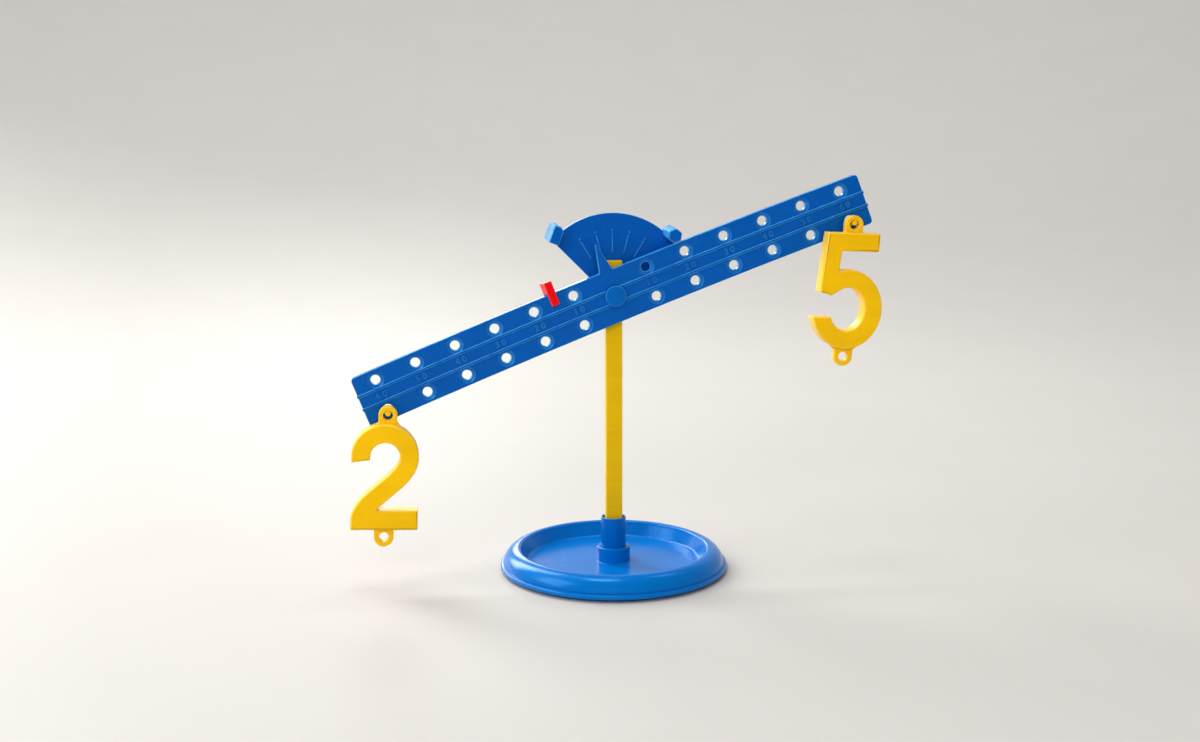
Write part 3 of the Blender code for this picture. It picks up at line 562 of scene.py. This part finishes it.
for side in (-1, 1):
    block = new_shell()
    low = BEAM_HALF_HEIGHT - sag(STOP_INNER) + GAP
    slab(block, [stop_outline(low, side)], BEAM_FRONT, FAN_BACK, STOP_EDGE)
    seat(block, 0.0, 0.0, side * BEAM_TILT)
    for spot in block.verts:
        lean = STOP_LEAN * (spot.co.y - BEAM_FRONT) / (FAN_BACK - BEAM_FRONT)
        spot.co += Vector((-lean, 0.0, lean))
    joined(shell, block)
seat(shell, 0.0, PIVOT_HEIGHT)
fan_plastic = plastic("fan_blue_plastic", BLUE, 0.25, HIGHLIGHT_BLUE, bump=0.1,
                      Clouding=0.04, Smudges=0.05, Scuffs=0.05, Edges=0.7)
piece("fan_plate", shell, fan_plastic, "stand", "beam_blue", "fan_scale")


# Pivot: a blue headed pin through beam, post and fan, with a thin spacer in front of the post and a
# push-on cap at the back. The head is turned smooth, a little domed, and stands clear of the ribs.
PIN_RADIUS = 0.0030
PIN_HEAD_RADIUS = 0.0081
PIN_HEAD_THICKNESS = 0.0030
PIN_HEAD_EDGE = 0.0010
PIN_DOME_RADIUS = 0.0035
PIN_DOME_DROP = 0.00008
PIN_RIM_DROP = 0.0003
HEAD_STAND_OFF = 0.0007
CAP_FRONT = FAN_BACK + GAP
CAP_RADIUS = 0.0065
CAP_DEPTH = 0.0042
CAP_END = 0.0014
CAP_EDGE = 0.0010
TURNED_EDGE = 0.0003
PIN_BLUE = (0.000, 0.125, 0.500, 1.0)

head_back = BEAM_FRONT - HEAD_STAND_OFF - GAP
front = head_back - PIN_HEAD_THICKNESS
pin_end = CAP_FRONT + CAP_DEPTH - CAP_END - GAP
pin = [(0.0, -front, 0.0), (PIN_DOME_RADIUS, -front - PIN_DOME_DROP, 0.0)]
pin += [(PIN_HEAD_RADIUS, -front - PIN_RIM_DROP, PIN_HEAD_EDGE), (PIN_HEAD_RADIUS, -head_back, TURNED_EDGE)]
pin += [(PIN_RADIUS, -head_back, 0.0), (PIN_RADIUS, -pin_end, 0.0)]
shell = new_shell()
turned(shell, softened(pin + [(0.0, -pin_end, 0.0)]), 96)
seat_turn = Matrix.Translation((0.0, 0.0, PIVOT_HEIGHT)) @ Matrix.Rotation(math.pi / 2, 4, "X")
bmesh.ops.transform(shell, matrix=seat_turn, verts=shell.verts)
pin_plastic = plastic("pin_blue_plastic", PIN_BLUE, 0.34, HIGHLIGHT_BLUE, bump=0.25,
                      Clouding=0.06, Smudges=0.06, Scuffs=0.5, Edges=0.35)
piece("pivot_pin_head", shell, pin_plastic, "stand", "beam_blue", "pivot_pin")

back = CAP_FRONT + CAP_DEPTH
cup = [(0.0, CAP_END - back, 0.0), (PIN_RADIUS + GAP, CAP_END - back, 0.0)]
cup += [(PIN_RADIUS + GAP, -CAP_FRONT, 0.0), (CAP_RADIUS, -CAP_FRONT, TURNED_EDGE)]
cup += [(CAP_RADIUS, -back, CAP_EDGE), (0.0, -back, 0.0)]
shell = new_shell()
turned(shell, softened(cup), 80)
bmesh.ops.transform(shell, matrix=seat_turn, verts=shell.verts)
piece("cap_cup", shell, pin_plastic, "stand", "beam_blue", "retaining_cap")
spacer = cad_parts["spacer_washer"]
spacer.data.materials.clear()
spacer.data.materials.append(pin_plastic)


# Beam: one blue moulding. A plate with two rows of six countersunk peg holes on each arm, an eyelet behind
# each, a rim round its back, two fine ribs along its face with raised numbers between, and a pointer on top.
HOLES_PER_ARM = 6
HOLE_PITCH = 0.0320
FIRST_HOLE = 0.0295
ROW_OFFSET = 0.0120
HOLE_RADIUS = 0.0036
HOLE_EDGE = 0.0005
RECESS_RADIUS = 0.0062
RECESS_FLOOR = 0.0049
RECESS_DEPTH = 0.0013
RECESS_EDGE = 0.0002
RECESS_FOOT = 0.0001
RECESS_HIGHLIGHT = 0.3
HOOK_HOLE_RADIUS = 0.0040
HOOK_HOLE_EDGE = 0.0007
HOLE_STEPS = 40
EYELET_WALL = 0.0013
BEAM_PLATE = 0.0030
BEAM_DEPTH = 0.0050
BEAM_FLANGE_WIDTH = 0.0022
BEAM_CORNER = 0.0030
BEAM_BOSS_RADIUS = 0.0075
BEAM_EDGE = 0.0006
BACK_EDGE = 0.0003
HOLLOW_CORNER = 0.0012
RIB_OFFSET = 0.0052
RIB_WIDTH = 0.0024
RIB_HEIGHT = 0.0009
RIB_OVERHANG = 0.0006
RIB_CORNER = 0.0005
RIB_ROOT = 0.0015
RIB_EDGE = 0.0008
POINTER_REACH = 0.0412
POINTER_HALF_BASE = 0.0052
POINTER_TIP = 0.0006
POINTER_ROOT_CORNER = 0.0015
POINTER_TIP_CORNER = 0.0005
NUMBER_HEIGHT = 0.0048
NUMBER_RISE = 0.0006
NUMBER_BEVEL = 0.0002
NUMBER_SWELL = 0.00015
NUMBER_HIGHLIGHT = 0.25
CAPITAL_SHARE = 0.70

PLATE_BACK = BEAM_FRONT + BEAM_PLATE
BEAM_BACK = BEAM_FRONT + BEAM_DEPTH
LAST_HOLE = FIRST_HOLE + (HOLES_PER_ARM - 1) * HOLE_PITCH


def raised_number(shell, word, x, z):
    """Plain number standing a little out of the beam's face."""
    letters = bpy.data.curves.new("number", "FONT")
    letters.body = word
    letters.size = NUMBER_HEIGHT / CAPITAL_SHARE
    letters.space_character = 1.5
    letters.extrude = NUMBER_RISE
    letters.bevel_depth = NUMBER_BEVEL
    letters.offset = NUMBER_SWELL
    letters.resolution_u = 3
    letters.align_x = "CENTER"
    letters.align_y = "CENTER"
    guide = bpy.data.objects.new("number", letters)
    bpy.context.scene.collection.objects.link(guide)
    bpy.context.view_layer.update()
    mesh = bpy.data.meshes.new_from_object(guide.evaluated_get(bpy.context.evaluated_depsgraph_get()))
    mesh.transform(Matrix.Translation((x, BEAM_FRONT, z)) @ Matrix.Rotation(math.pi / 2, 4, "X"))
    drawn = len(shell.verts)
    shell.from_mesh(mesh)
    shell.verts.ensure_lookup_table()
    # Painted highlight: the raised numbers are drawn a set share of the way toward the pale highlight blue.
    for spot in shell.verts[drawn:]:
        spot[shell.verts.layers.float["edge"]] = NUMBER_HIGHLIGHT
    bpy.data.objects.remove(guide, do_unlink=True)
    bpy.data.meshes.remove(mesh)


def bowed(loop, longest=0.012):
    """Outline of the bowed beam from a straight one, its long edges cut into shorter ones."""
    points = []
    for (x0, z0, wear_and_highlight), (x1, z1, _) in zip(loop, loop[1:] + loop[:1]):
        parts = max(1, math.ceil(math.hypot(x1 - x0, z1 - z0) / longest))
        for i in range(parts):
            points.append((x0 + (x1 - x0) * i / parts, z0 + (z1 - z0) * i / parts, wear_and_highlight if i == 0 else 0.0))
    return [(x, z - sag(x), wear_and_highlight) for x, z, wear_and_highlight in points]


columns = [side * (FIRST_HOLE + k * HOLE_PITCH) for side in (-1, 1) for k in range(HOLES_PER_ARM)]
end, top, low = BEAM_HALF_LENGTH, BEAM_HALF_HEIGHT, -BEAM_HALF_HEIGHT
edge_line = [(-end, low, BEAM_CORNER), (end, low, BEAM_CORNER)]
edge_line += [(end, top, BEAM_CORNER), (POINTER_HALF_BASE, top, POINTER_ROOT_CORNER)]
edge_line += [(x, POINTER_REACH, POINTER_TIP_CORNER) for x in (POINTER_TIP, -POINTER_TIP)]
edge_line += [(-POINTER_HALF_BASE, top, POINTER_ROOT_CORNER), (-end, top, BEAM_CORNER)]
back_edge = round_edge(BEAM_BACK, -1, BACK_EDGE)
shell = new_shell()
outer_first, outer_last = wall(shell, bowed(softened(edge_line, closed=True, steps=6)),
                               round_edge(BEAM_FRONT, 1, BEAM_EDGE) + back_edge[::-1])
inside_x, inside_z = BEAM_HALF_LENGTH - BEAM_FLANGE_WIDTH, BEAM_HALF_HEIGHT - BEAM_FLANGE_WIDTH
hollow = turned_round(bowed(rectangle(-inside_x, -inside_z, inside_x, inside_z, HOLLOW_CORNER)))
hollow_first, hollow_last = wall(shell, hollow, back_edge + [(0.0, PLATE_BACK, 0.0)])
fronts, backs = [], []
step, shelf = BEAM_FRONT + RECESS_DEPTH, RECESS_FLOOR - HOLE_RADIUS
# Painted highlight: each peg hole's front rim takes half, the recess step a set share and the hole's rounded
# lip the full pale colour, giving bright rings round the holes.
peg_hole = []
for inset, depth, wear_and_highlight in round_edge(BEAM_FRONT, 1, RECESS_EDGE):
    peg_hole.append((RECESS_RADIUS - HOLE_RADIUS + inset, depth, wear_and_highlight / 2))
peg_hole += [(shelf + RECESS_FOOT, step - RECESS_FOOT, RECESS_HIGHLIGHT), (shelf - 2 * RECESS_FOOT, step, 0.0)]
peg_hole += [(inset, depth, 1.0) for inset, depth, _ in round_edge(step, 1, HOLE_EDGE)] + back_edge[::-1]
peg_hole += [(EYELET_WALL, BEAM_BACK, 0.0), (EYELET_WALL, PLATE_BACK, 0.0)]
hook_hole = round_edge(BEAM_FRONT, 1, HOOK_HOLE_EDGE) + round_edge(PLATE_BACK, -1, BACK_EDGE)[::-1]
for x in columns:
    for row in (-1, 1):
        hooked = row < 0 and abs(x) > LAST_HOLE - GAP
        size, steps = (HOOK_HOLE_RADIUS, hook_hole) if hooked else (HOLE_RADIUS, peg_hole)
        hole = circle(x, row * ROW_OFFSET - sag(x), size, HOLE_STEPS)
        first, last = wall(shell, turned_round(hole), steps)
        fronts.append(first)
        backs.append(last)
boss = BEAM_BOSS_RADIUS - PIN_RADIUS - GAP
bearing = [(0.0, BEAM_FRONT, 0.0), (0.0, BEAM_BACK, 0.0), (boss, BEAM_BACK, 0.0), (boss, PLATE_BACK, 0.0)]
first, last = wall(shell, turned_round(circle(0.0, 0.0, PIN_RADIUS + GAP, HOLE_STEPS)), bearing)
cap(shell, outer_first, first, *fronts)
cap(shell, outer_last, hollow_first)
cap(shell, hollow_last, last, *backs)
for side in (-1, 1):
    for end in (-1, 1):
        inner, outer = (PIN_RADIUS + PIN_HEAD_RADIUS) / 2, BEAM_HALF_LENGTH + RIB_OVERHANG
        near, far = sorted((end * inner, end * outer))
        middle = side * RIB_OFFSET
        rib = bowed(rectangle(near, middle - RIB_WIDTH / 2, far, middle + RIB_WIDTH / 2, RIB_CORNER))
        slab(shell, [rib], BEAM_FRONT - RIB_HEIGHT, BEAM_FRONT + RIB_ROOT, RIB_EDGE)
for x in columns:
    raised_number(shell, str(10 * (1 + round((abs(x) - FIRST_HOLE) / HOLE_PITCH))), x, -sag(x))
seat(shell, 0.0, PIVOT_HEIGHT, BEAM_TILT)
beam_plastic = plastic("beam_blue_plastic", BLUE, 0.18, HIGHLIGHT_BLUE, specular=0.5, bump=0.10,
                       Clouding=0.06, Smudges=0.06, Scuffs=0.12, Edges=0.65)
piece("beam_moulding", shell, beam_plastic, "beam", "beam_blue", "beam")


# Rider: a small red clip pushed over the beam's upper edge and slid along it to trim the balance.
RIDER_PLACE = -0.0455
RIDER_WIDTH = 0.0062
RIDER_LEG = 0.0020
RIDER_REACH = 0.0092
RIDER_TOP = 0.0094
RIDER_SKEW = 0.0015
RIDER_EDGE = 0.0007
RIDER_TOP_CORNER = 0.0008
RIDER_FOOT_CORNER = 0.0005
RIDER_MOUTH_CORNER = 0.0004
RIDER_BRIDGE_CORNER = 0.0003
RED = (0.900, 0.000, 0.004, 1.0)
# Pale red toward which the rider's edges are drawn as painted highlight; it also tints the reflection.
HIGHLIGHT_RED = (1.0, 0.25, 0.22, 1.0)

front, back = BEAM_FRONT - GAP, BEAM_BACK + GAP
low, bridge = BEAM_HALF_HEIGHT - RIDER_REACH, BEAM_HALF_HEIGHT + GAP
high = BEAM_HALF_HEIGHT + RIDER_TOP
clip = [(front - RIDER_LEG, low, RIDER_FOOT_CORNER), (front, low, RIDER_MOUTH_CORNER)]
clip += [(front, bridge, RIDER_BRIDGE_CORNER), (back, bridge, RIDER_BRIDGE_CORNER)]
clip += [(back, low, RIDER_MOUTH_CORNER), (back + RIDER_LEG, low, RIDER_FOOT_CORNER)]
clip += [(back + RIDER_LEG, high, RIDER_TOP_CORNER), (front - RIDER_LEG, high, RIDER_TOP_CORNER)]
start, stop = RIDER_PLACE - RIDER_WIDTH / 2, RIDER_PLACE + RIDER_WIDTH / 2
shell = new_shell()
slab(shell, [softened(clip, closed=True)], start, stop, RIDER_EDGE, pale=0.0)
for spot in shell.verts:
    askew = RIDER_SKEW * ((spot.co.x - front) / (back - front) - 0.5)
    spot.co = (spot.co.y - askew, spot.co.x, spot.co.z - sag(RIDER_PLACE))
seat(shell, 0.0, PIVOT_HEIGHT, BEAM_TILT)
rider_plastic = plastic("rider_red_plastic", RED, 0.30, HIGHLIGHT_RED, bump=0.12,
                        Clouding=0.05, Smudges=0.05, Scuffs=0.2, Edges=0.4)
piece("rider_clip", shell, rider_plastic, "rider", "red", "rider")


# Hooks: round yellow bars that lie in the last lower holes with their back ends turned down behind the
# plate. The ears of the digits hang on their front ends.
RIDER_CLEARANCE = 0.0005
DIGIT_BACK = BEAM_FRONT - GAP - RIDER_LEG - RIDER_CLEARANCE
DIGIT_DEPTH = 0.0130
DIGIT_FRONT = DIGIT_BACK - DIGIT_DEPTH
DIGIT_MIDDLE = (DIGIT_FRONT + DIGIT_BACK) / 2
RING_DEPTH = 0.0066
HOOK_RADIUS = 0.0025
HOOK_HEAD_RADIUS = 0.0021
HOOK_HEAD_RISE = 0.0005
HOOK_BEND = 0.0030
HOOK_LEG = 0.0036
HOOK_DROP = 0.0014
HOOK_STEP = 0.0006
HOOK_STAND_OFF = 0.0026
HEAD_SETBACK = 0.0001
FRONT_ROUND = 0.2
END_ROUND = 0.4
DIGIT_LEAN = math.radians(2.5)
YELLOW = (1.000, 0.570, 0.000, 1.0)


def bar(shell, line, steps=28):
    """Round bar along (y, z, radius) points in the plane x = 0, with its ends rounded over."""
    points = [Vector((0.0, y, z)) for y, z, _ in line]
    radii = [radius for _, _, radius in line]
    first, last = (points[1] - points[0]).normalized(), (points[-1] - points[-2]).normalized()
    ends = ((1.0, 0.0), (0.8, 0.6), (0.4, 0.92), (0.0, 1.0))
    stations = []
    for s, c in ends:
        centre = points[0] + first * radii[0] * FRONT_ROUND * (1 - s)
        stations.append((centre, radii[0] * (1 - FRONT_ROUND * (1 - c)), first))
    for i in range(1, len(points) - 1):
        stations.append((points[i], radii[i], (points[i + 1] - points[i - 1]).normalized()))
    for s, c in ends[::-1]:
        centre = points[-1] - last * radii[-1] * END_ROUND * (1 - s)
        stations.append((centre, radii[-1] * (1 - END_ROUND * (1 - c)), last))
    side = Vector((1.0, 0.0, 0.0))
    rings = []
    for centre, size, along in stations:
        up = side.cross(along)
        angles = [2 * math.pi * k / steps for k in range(steps)]
        spots = [centre + side * size * math.cos(a) + up * size * math.sin(a) for a in angles]
        rings.append([corner(shell, spot) for spot in spots])
    for near, far in zip(rings, rings[1:]):
        for i in range(steps):
            shell.faces.new((near[i - 1], near[i], far[i], far[i - 1]))
    shell.faces.new(rings[0])
    shell.faces.new(rings[-1])


def hung(shell, side, tilt=0.0):
    """Moves a mesh drawn about a hook's axis to the last lower hole on that side."""
    along, drop = side * LAST_HOLE, ROW_OFFSET + sag(LAST_HOLE)
    x = along * math.cos(BEAM_TILT) + drop * math.sin(BEAM_TILT)
    z = PIVOT_HEIGHT + along * math.sin(BEAM_TILT) - drop * math.cos(BEAM_TILT) - HOOK_DROP
    seat(shell, x, z, tilt)


digit_plastic = plastic("digit_yellow_plastic", YELLOW, 0.33, HIGHLIGHT_YELLOW, bump=0.25,
                        Clouding=0.07, Smudges=0.07, Scuffs=0.2, Edges=0.35)
leg = PLATE_BACK + HOOK_STAND_OFF
tip = DIGIT_MIDDLE - RING_DEPTH / 2 + HEAD_SETBACK
bend = arc(leg - HOOK_BEND, -HOOK_BEND, HOOK_BEND, HOOK_BEND, 90, 0, 10)
line = [(tip, HOOK_HEAD_RISE, HOOK_HEAD_RADIUS), (DIGIT_BACK, HOOK_HEAD_RISE, HOOK_HEAD_RADIUS)]
line += [(DIGIT_BACK + HOOK_STEP, 0.0, HOOK_RADIUS)] + [(y, z, HOOK_RADIUS) for y, z, _ in bend]
line += [(leg, -HOOK_LEG, HOOK_RADIUS)]
for side, name in ((-1, "hook_left"), (1, "hook_right")):
    shell = new_shell()
    bar(shell, line)
    hung(shell, side)
    piece(name + "_bar", shell, digit_plastic, "beam", "yellow", name)


# Digit 2: a thick yellow moulded numeral with softened edges, an ear above to hang by and a loop below to
# hang the next piece from. Ear and loop are thinner tabs in the middle of its depth.
DIGIT_STROKE = 0.0140
DIGIT_EDGE = 0.0013
DIGIT_END_CORNER = 0.0007
DIGIT_FOOT_CORNER = 0.0008
DIGIT_JOIN_CORNER = 0.0006
EAR_RADIUS = 0.0069
LOOP_RADIUS = 0.0073
RING_HOLE = 0.0036
RING_EDGE = 0.0007
EAR_RISE = 0.0063
LOOP_DROP = 0.0062
RING_NECK = 0.0035
NECK_FLARE = 0.0016
RING_DROP = 0.0009
TWO_HEIGHT = 0.0800
TWO_WIDTH = 0.0496
TWO_SHIFT = -0.0016
TWO_FOOT = 0.0150
TWO_TIP_ANGLE = 190
TWO_BOW_END = -25.0
TWO_PULL = 0.32
TWO_ARRIVAL = 0.14
TAB_STEPS = 36
TAB_SINK = 0.0002


def tab(shell, x, z, radius, edge_z):
    """Round-ended tab with a hole at (x, z), reaching into the digit past the edge it stands on."""
    toward = 1 if edge_z > z else -1
    root, edge_z = edge_z + toward * RING_NECK, edge_z + toward * TAB_SINK
    wide = radius + NECK_FLARE
    spots = arc(x, z, radius, radius, 0, 180, TAB_STEPS)
    spots += [(x - radius, edge_z, NECK_FLARE), (x - wide, edge_z, 0.0), (x - wide, root, 0.0)]
    spots += [(x + wide, root, 0.0), (x + wide, edge_z, 0.0), (x + radius, edge_z, NECK_FLARE)]
    if toward > 0:
        turned_over = [(x, 2 * z - high, size) for x, high, size in spots[:TAB_STEPS + 1]]
        spots = turned_over + spots[TAB_STEPS + 1:]
        spots = turned_round(spots)
    loop = softened(spots, closed=True)
    slab(shell, [loop, turned_round(circle(x, z, RING_HOLE, 40))],
         DIGIT_MIDDLE - RING_DEPTH / 2, DIGIT_MIDDLE + RING_DEPTH / 2, RING_EDGE)


def curve(p0, p1, p2, p3, steps):
    """Points of one cubic curve, without its first point."""
    points = []
    for i in range(1, steps + 1):
        t = i / steps
        a, b, c, d = (1 - t) ** 3, 3 * t * (1 - t) ** 2, 3 * t * t * (1 - t), t ** 3
        points.append(tuple(a * p0[k] + b * p1[k] + c * p2[k] + d * p3[k] for k in (0, 1)))
    return points


top = -RING_DROP - EAR_RISE
base = top - TWO_HEIGHT
outer = TWO_WIDTH / 2
mean = outer - DIGIT_STROKE / 2
spine = [(x, z) for x, z, _ in arc(TWO_SHIFT, top - outer, mean, mean, TWO_TIP_ANGLE, TWO_BOW_END, 56)]
turn = math.radians(TWO_BOW_END)
pull = TWO_WIDTH * TWO_PULL
x0, z0 = spine[-1]
x1, z1 = TWO_SHIFT - mean, base + TWO_FOOT / 2
spine += curve((x0, z0), (x0 + pull * math.sin(turn), z0 - pull * math.cos(turn)),
               (x1 + DIGIT_STROKE * TWO_ARRIVAL, z1 + TWO_FOOT), (x1, z1), 36)
outside, inside = [], []
for i, (x, z) in enumerate(spine):
    before, after = spine[max(i - 1, 0)], spine[min(i + 1, len(spine) - 1)]
    way = Vector((after[0] - before[0], after[1] - before[1])).normalized() * (DIGIT_STROKE / 2)
    outside.append((x - way.y, z + way.x, 0.0))
    inside.append((x + way.y, z - way.x, 0.0))
foot_top = base + TWO_FOOT
outside = [spot for spot in outside if spot[1] > foot_top + 0.0004]
x, z, _ = outside[-1]
crossing = x + (x - outside[-2][0]) / (z - outside[-2][1]) * (foot_top - z)
left, right = TWO_SHIFT - outer, TWO_SHIFT + outer
numeral = [(*outside[0][:2], DIGIT_END_CORNER)] + outside[1:] + [(crossing, foot_top, DIGIT_JOIN_CORNER)]
numeral += [(x, z, DIGIT_FOOT_CORNER) for x, z in ((right, foot_top), (right, base), (left, base))]
numeral += inside[:0:-1] + [(*inside[0][:2], DIGIT_END_CORNER)]
shell = new_shell()
slab(shell, [turned_round(softened(numeral, closed=True))], DIGIT_FRONT, DIGIT_BACK, DIGIT_EDGE)
tab(shell, 0.0, -RING_DROP, EAR_RADIUS, top)
tab(shell, TWO_SHIFT, base - LOOP_DROP, LOOP_RADIUS, base)
hung(shell, -1, -DIGIT_LEAN)
piece("digit_two", shell, digit_plastic, "number_2", "yellow", "number_2")


# Digit 5: as the 2, but cored out from the back to a thin wall, so that it weighs less and hangs high.
FIVE_HEIGHT = 0.0888
FIVE_BAR_LEFT = 0.0185
FIVE_BAR_RIGHT = 0.0222
FIVE_BOWL_WIDTH = 0.0550
FIVE_BOWL_HEIGHT = 0.0610
FIVE_SHIFT = -0.0022
FIVE_STEM = 0.0114
FIVE_STEM_FOOT = 0.0095
FIVE_STEM_SLANT = 0.0041
FIVE_STEM_LEAN = 0.0012
FIVE_STEM_RISE = 0.0128
FIVE_STEM_CUT = 0.0025
FIVE_INNER_START = 121.0
FIVE_TERMINAL_DROP = 0.0062
CORE_WALL = 0.0026
CORE_DEPTH = 0.0085
CORE_CORNER = 0.0004
FIVE_BACK_EDGE = 0.0006


def five(top, inset, soft):
    """Outline of the 5 drawn in from its edges by the inset, its corners rounded."""
    centre = top - FIVE_HEIGHT + FIVE_BOWL_HEIGHT / 2
    outer_x, outer_z = FIVE_BOWL_WIDTH / 2 - inset, FIVE_BOWL_HEIGHT / 2 - inset
    inner_x, inner_z = outer_x - DIGIT_STROKE + 2 * inset, outer_z - DIGIT_STROKE + 2 * inset
    left = FIVE_SHIFT - FIVE_BAR_LEFT + inset
    right = FIVE_SHIFT + FIVE_BAR_RIGHT - inset
    bar_foot = top - DIGIT_STROKE + inset
    stem = left + FIVE_STEM - 2 * inset
    foot_left = left - FIVE_STEM_SLANT
    foot_right = foot_left + FIVE_STEM_FOOT - 2 * inset
    foot = centre + FIVE_STEM_RISE + inset
    join = math.degrees(math.acos((stem - FIVE_STEM_LEAN - FIVE_SHIFT) / outer_x))
    cut = -FIVE_TERMINAL_DROP - inset
    outer_end = -180.0 - math.degrees(math.asin(cut / outer_z))
    inner_end = -180.0 - math.degrees(math.asin(cut / inner_z))
    bowl = arc(FIVE_SHIFT, centre, outer_x, outer_z, join, outer_end, 72)
    back = arc(FIVE_SHIFT, centre, inner_x, inner_z, inner_end, FIVE_INNER_START, 56)
    bowl[-1], back[0] = (*bowl[-1][:2], soft), (*back[0][:2], soft)
    spots = [(left, top - inset, soft), (right, top - inset, soft)]
    spots += [(right, bar_foot, soft), (stem, bar_foot, soft)] + bowl + back
    spots += [(foot_right, foot - FIVE_STEM_CUT, soft), (foot_left, foot, soft)]
    return turned_round(softened(spots, closed=True))


base = top - FIVE_HEIGHT
shell = new_shell()
skin = round_edge(DIGIT_FRONT, 1, DIGIT_EDGE) + round_edge(DIGIT_BACK, -1, FIVE_BACK_EDGE)[::-1]
core = round_edge(DIGIT_BACK, -1, CORE_CORNER) + [(0.0, DIGIT_BACK - CORE_DEPTH, 0.0)]
outer_first, outer_last = wall(shell, five(top, 0.0, DIGIT_END_CORNER), skin)
core_first, core_last = wall(shell, turned_round(five(top, CORE_WALL, CORE_CORNER)), core)
cap(shell, outer_first)
cap(shell, outer_last, core_first)
cap(shell, core_last)
tab(shell, 0.0, -RING_DROP, EAR_RADIUS, top)
tab(shell, FIVE_SHIFT, base - LOOP_DROP, LOOP_RADIUS, base)
hung(shell, 1, -DIGIT_LEAN)
piece("digit_five", shell, digit_plastic, "number_5", "yellow", "number_5")


# Studio: a pale floor that sweeps up into a wall all round, a tall window behind the balance on its left, a
# window on the left, a small one behind, a fill in front, a ceiling lamp, a wash on the wall and a pale sky.
FLOOR_RADIUS = 1.5
WALL_BEND = 3.6
WALL_HEIGHT = 4.4
FLOOR_DARKER = (0.52, 0.505, 0.485, 1.0)
FLOOR_LIGHTER = (0.55, 0.535, 0.515, 1.0)
FLOOR_ROUGHNESS = 0.55
FLOOR_SPECULAR = 0.25
DAYLIGHT = (1.0, 0.98, 0.95)
LAMPLIGHT = (1.0, 0.99, 0.97)
FILL_LIGHT = (1.0, 0.98, 0.96)
SKY_COLOUR = (0.93, 0.96, 1.0, 1.0)
SKY_STRENGTH = 0.40
SKY_MIRRORED = 0.07
BALANCE = (0.0, 0.0, 0.15)

profile = [(0.0, 0.0, 0.0), (FLOOR_RADIUS, 0.0, 0.0)]
profile += arc(FLOOR_RADIUS, WALL_BEND, WALL_BEND, WALL_BEND, 270, 360, 32)[1:]
profile += [(FLOOR_RADIUS + WALL_BEND, WALL_HEIGHT, 0.0)]
shell = new_shell()
turned(shell, profile + [(0.0, WALL_HEIGHT * 20, 0.0)], 96)
roof = [face for face in shell.faces if face.calc_center_median().z > WALL_HEIGHT]
bmesh.ops.delete(shell, geom=roof, context="FACES")
mesh = bpy.data.meshes.new("floor")
shell.to_mesh(mesh)
shell.free()
mesh.shade_smooth()
floor = bpy.data.objects.new("floor", mesh)
bpy.context.scene.collection.objects.link(floor)
paint = bpy.data.materials.new("pale_floor")
paint.use_nodes = True
tree = paint.node_tree
shader = tree.nodes["Principled BSDF"]
shader.inputs["Roughness"].default_value = FLOOR_ROUGHNESS
shader.inputs["Specular IOR Level"].default_value = FLOOR_SPECULAR
place = tree.nodes.new("ShaderNodeTexCoord").outputs["Object"]
speck = noise(tree, place, 7.0, 5.0)
tint = add_node(tree, "ShaderNodeMix", [("data_type", "RGBA")])
tree.links.new(speck, tint.inputs[0])
tint.inputs[6].default_value = FLOOR_DARKER
tint.inputs[7].default_value = FLOOR_LIGHTER
tree.links.new(tint.outputs[2], shader.inputs["Base Color"])
mesh.materials.append(paint)
floor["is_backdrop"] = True


def lamp(name, place, aim, width, height, power, colour, mirrored=True, spread=180.0):
    """Rectangular lamp turned to its aim and not seen itself. Power in watts, spread in degrees."""
    light = bpy.data.lights.new(name, "AREA")
    light.shape = "RECTANGLE"
    light.size = width
    light.size_y = height
    light.energy = power
    light.color = colour
    light.spread = math.radians(spread)
    made = bpy.data.objects.new(name, light)
    made.location = place
    made.visible_glossy = mirrored
    made.visible_camera = False
    made.rotation_euler = (Vector(aim) - Vector(place)).to_track_quat("-Z", "Y").to_euler()
    bpy.context.scene.collection.objects.link(made)


lamp("window", (-1.69, 2.17, 2.0), BALANCE, 1.2, 3.0, 22.0, DAYLIGHT, spread=80.0)
lamp("back_window", (-0.25, 3.0, 1.1), BALANCE, 0.8, 0.7, 2.6, DAYLIGHT, spread=90.0)
lamp("side_window", (-2.4, -0.4, 1.75), BALANCE, 1.6, 1.7, 17.0, DAYLIGHT, spread=120.0)
lamp("front_fill", (-0.8, -2.4, 1.5), BALANCE, 1.8, 1.2, 33.0, FILL_LIGHT, mirrored=False)
lamp("ceiling", (-0.3, 0.1, 2.7), (0.0, 0.0, 0.0), 0.7, 0.7, 16.0, LAMPLIGHT)
lamp("back_wash", (0.0, 0.9, 2.9), (0.0, 4.6, 0.9), 3.4, 0.8, 100.0, LAMPLIGHT)
sky = bpy.data.worlds.new("sky")
sky.use_nodes = True
tree = sky.node_tree
background = tree.nodes["Background"]
background.inputs["Color"].default_value = SKY_COLOUR
mirrored = tree.nodes.new("ShaderNodeLightPath").outputs["Is Glossy Ray"]
tree.links.new(remap(tree, mirrored, 0.0, 1.0, SKY_STRENGTH, SKY_MIRRORED), background.inputs["Strength"])
bpy.context.scene.world = sky

low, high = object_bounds()
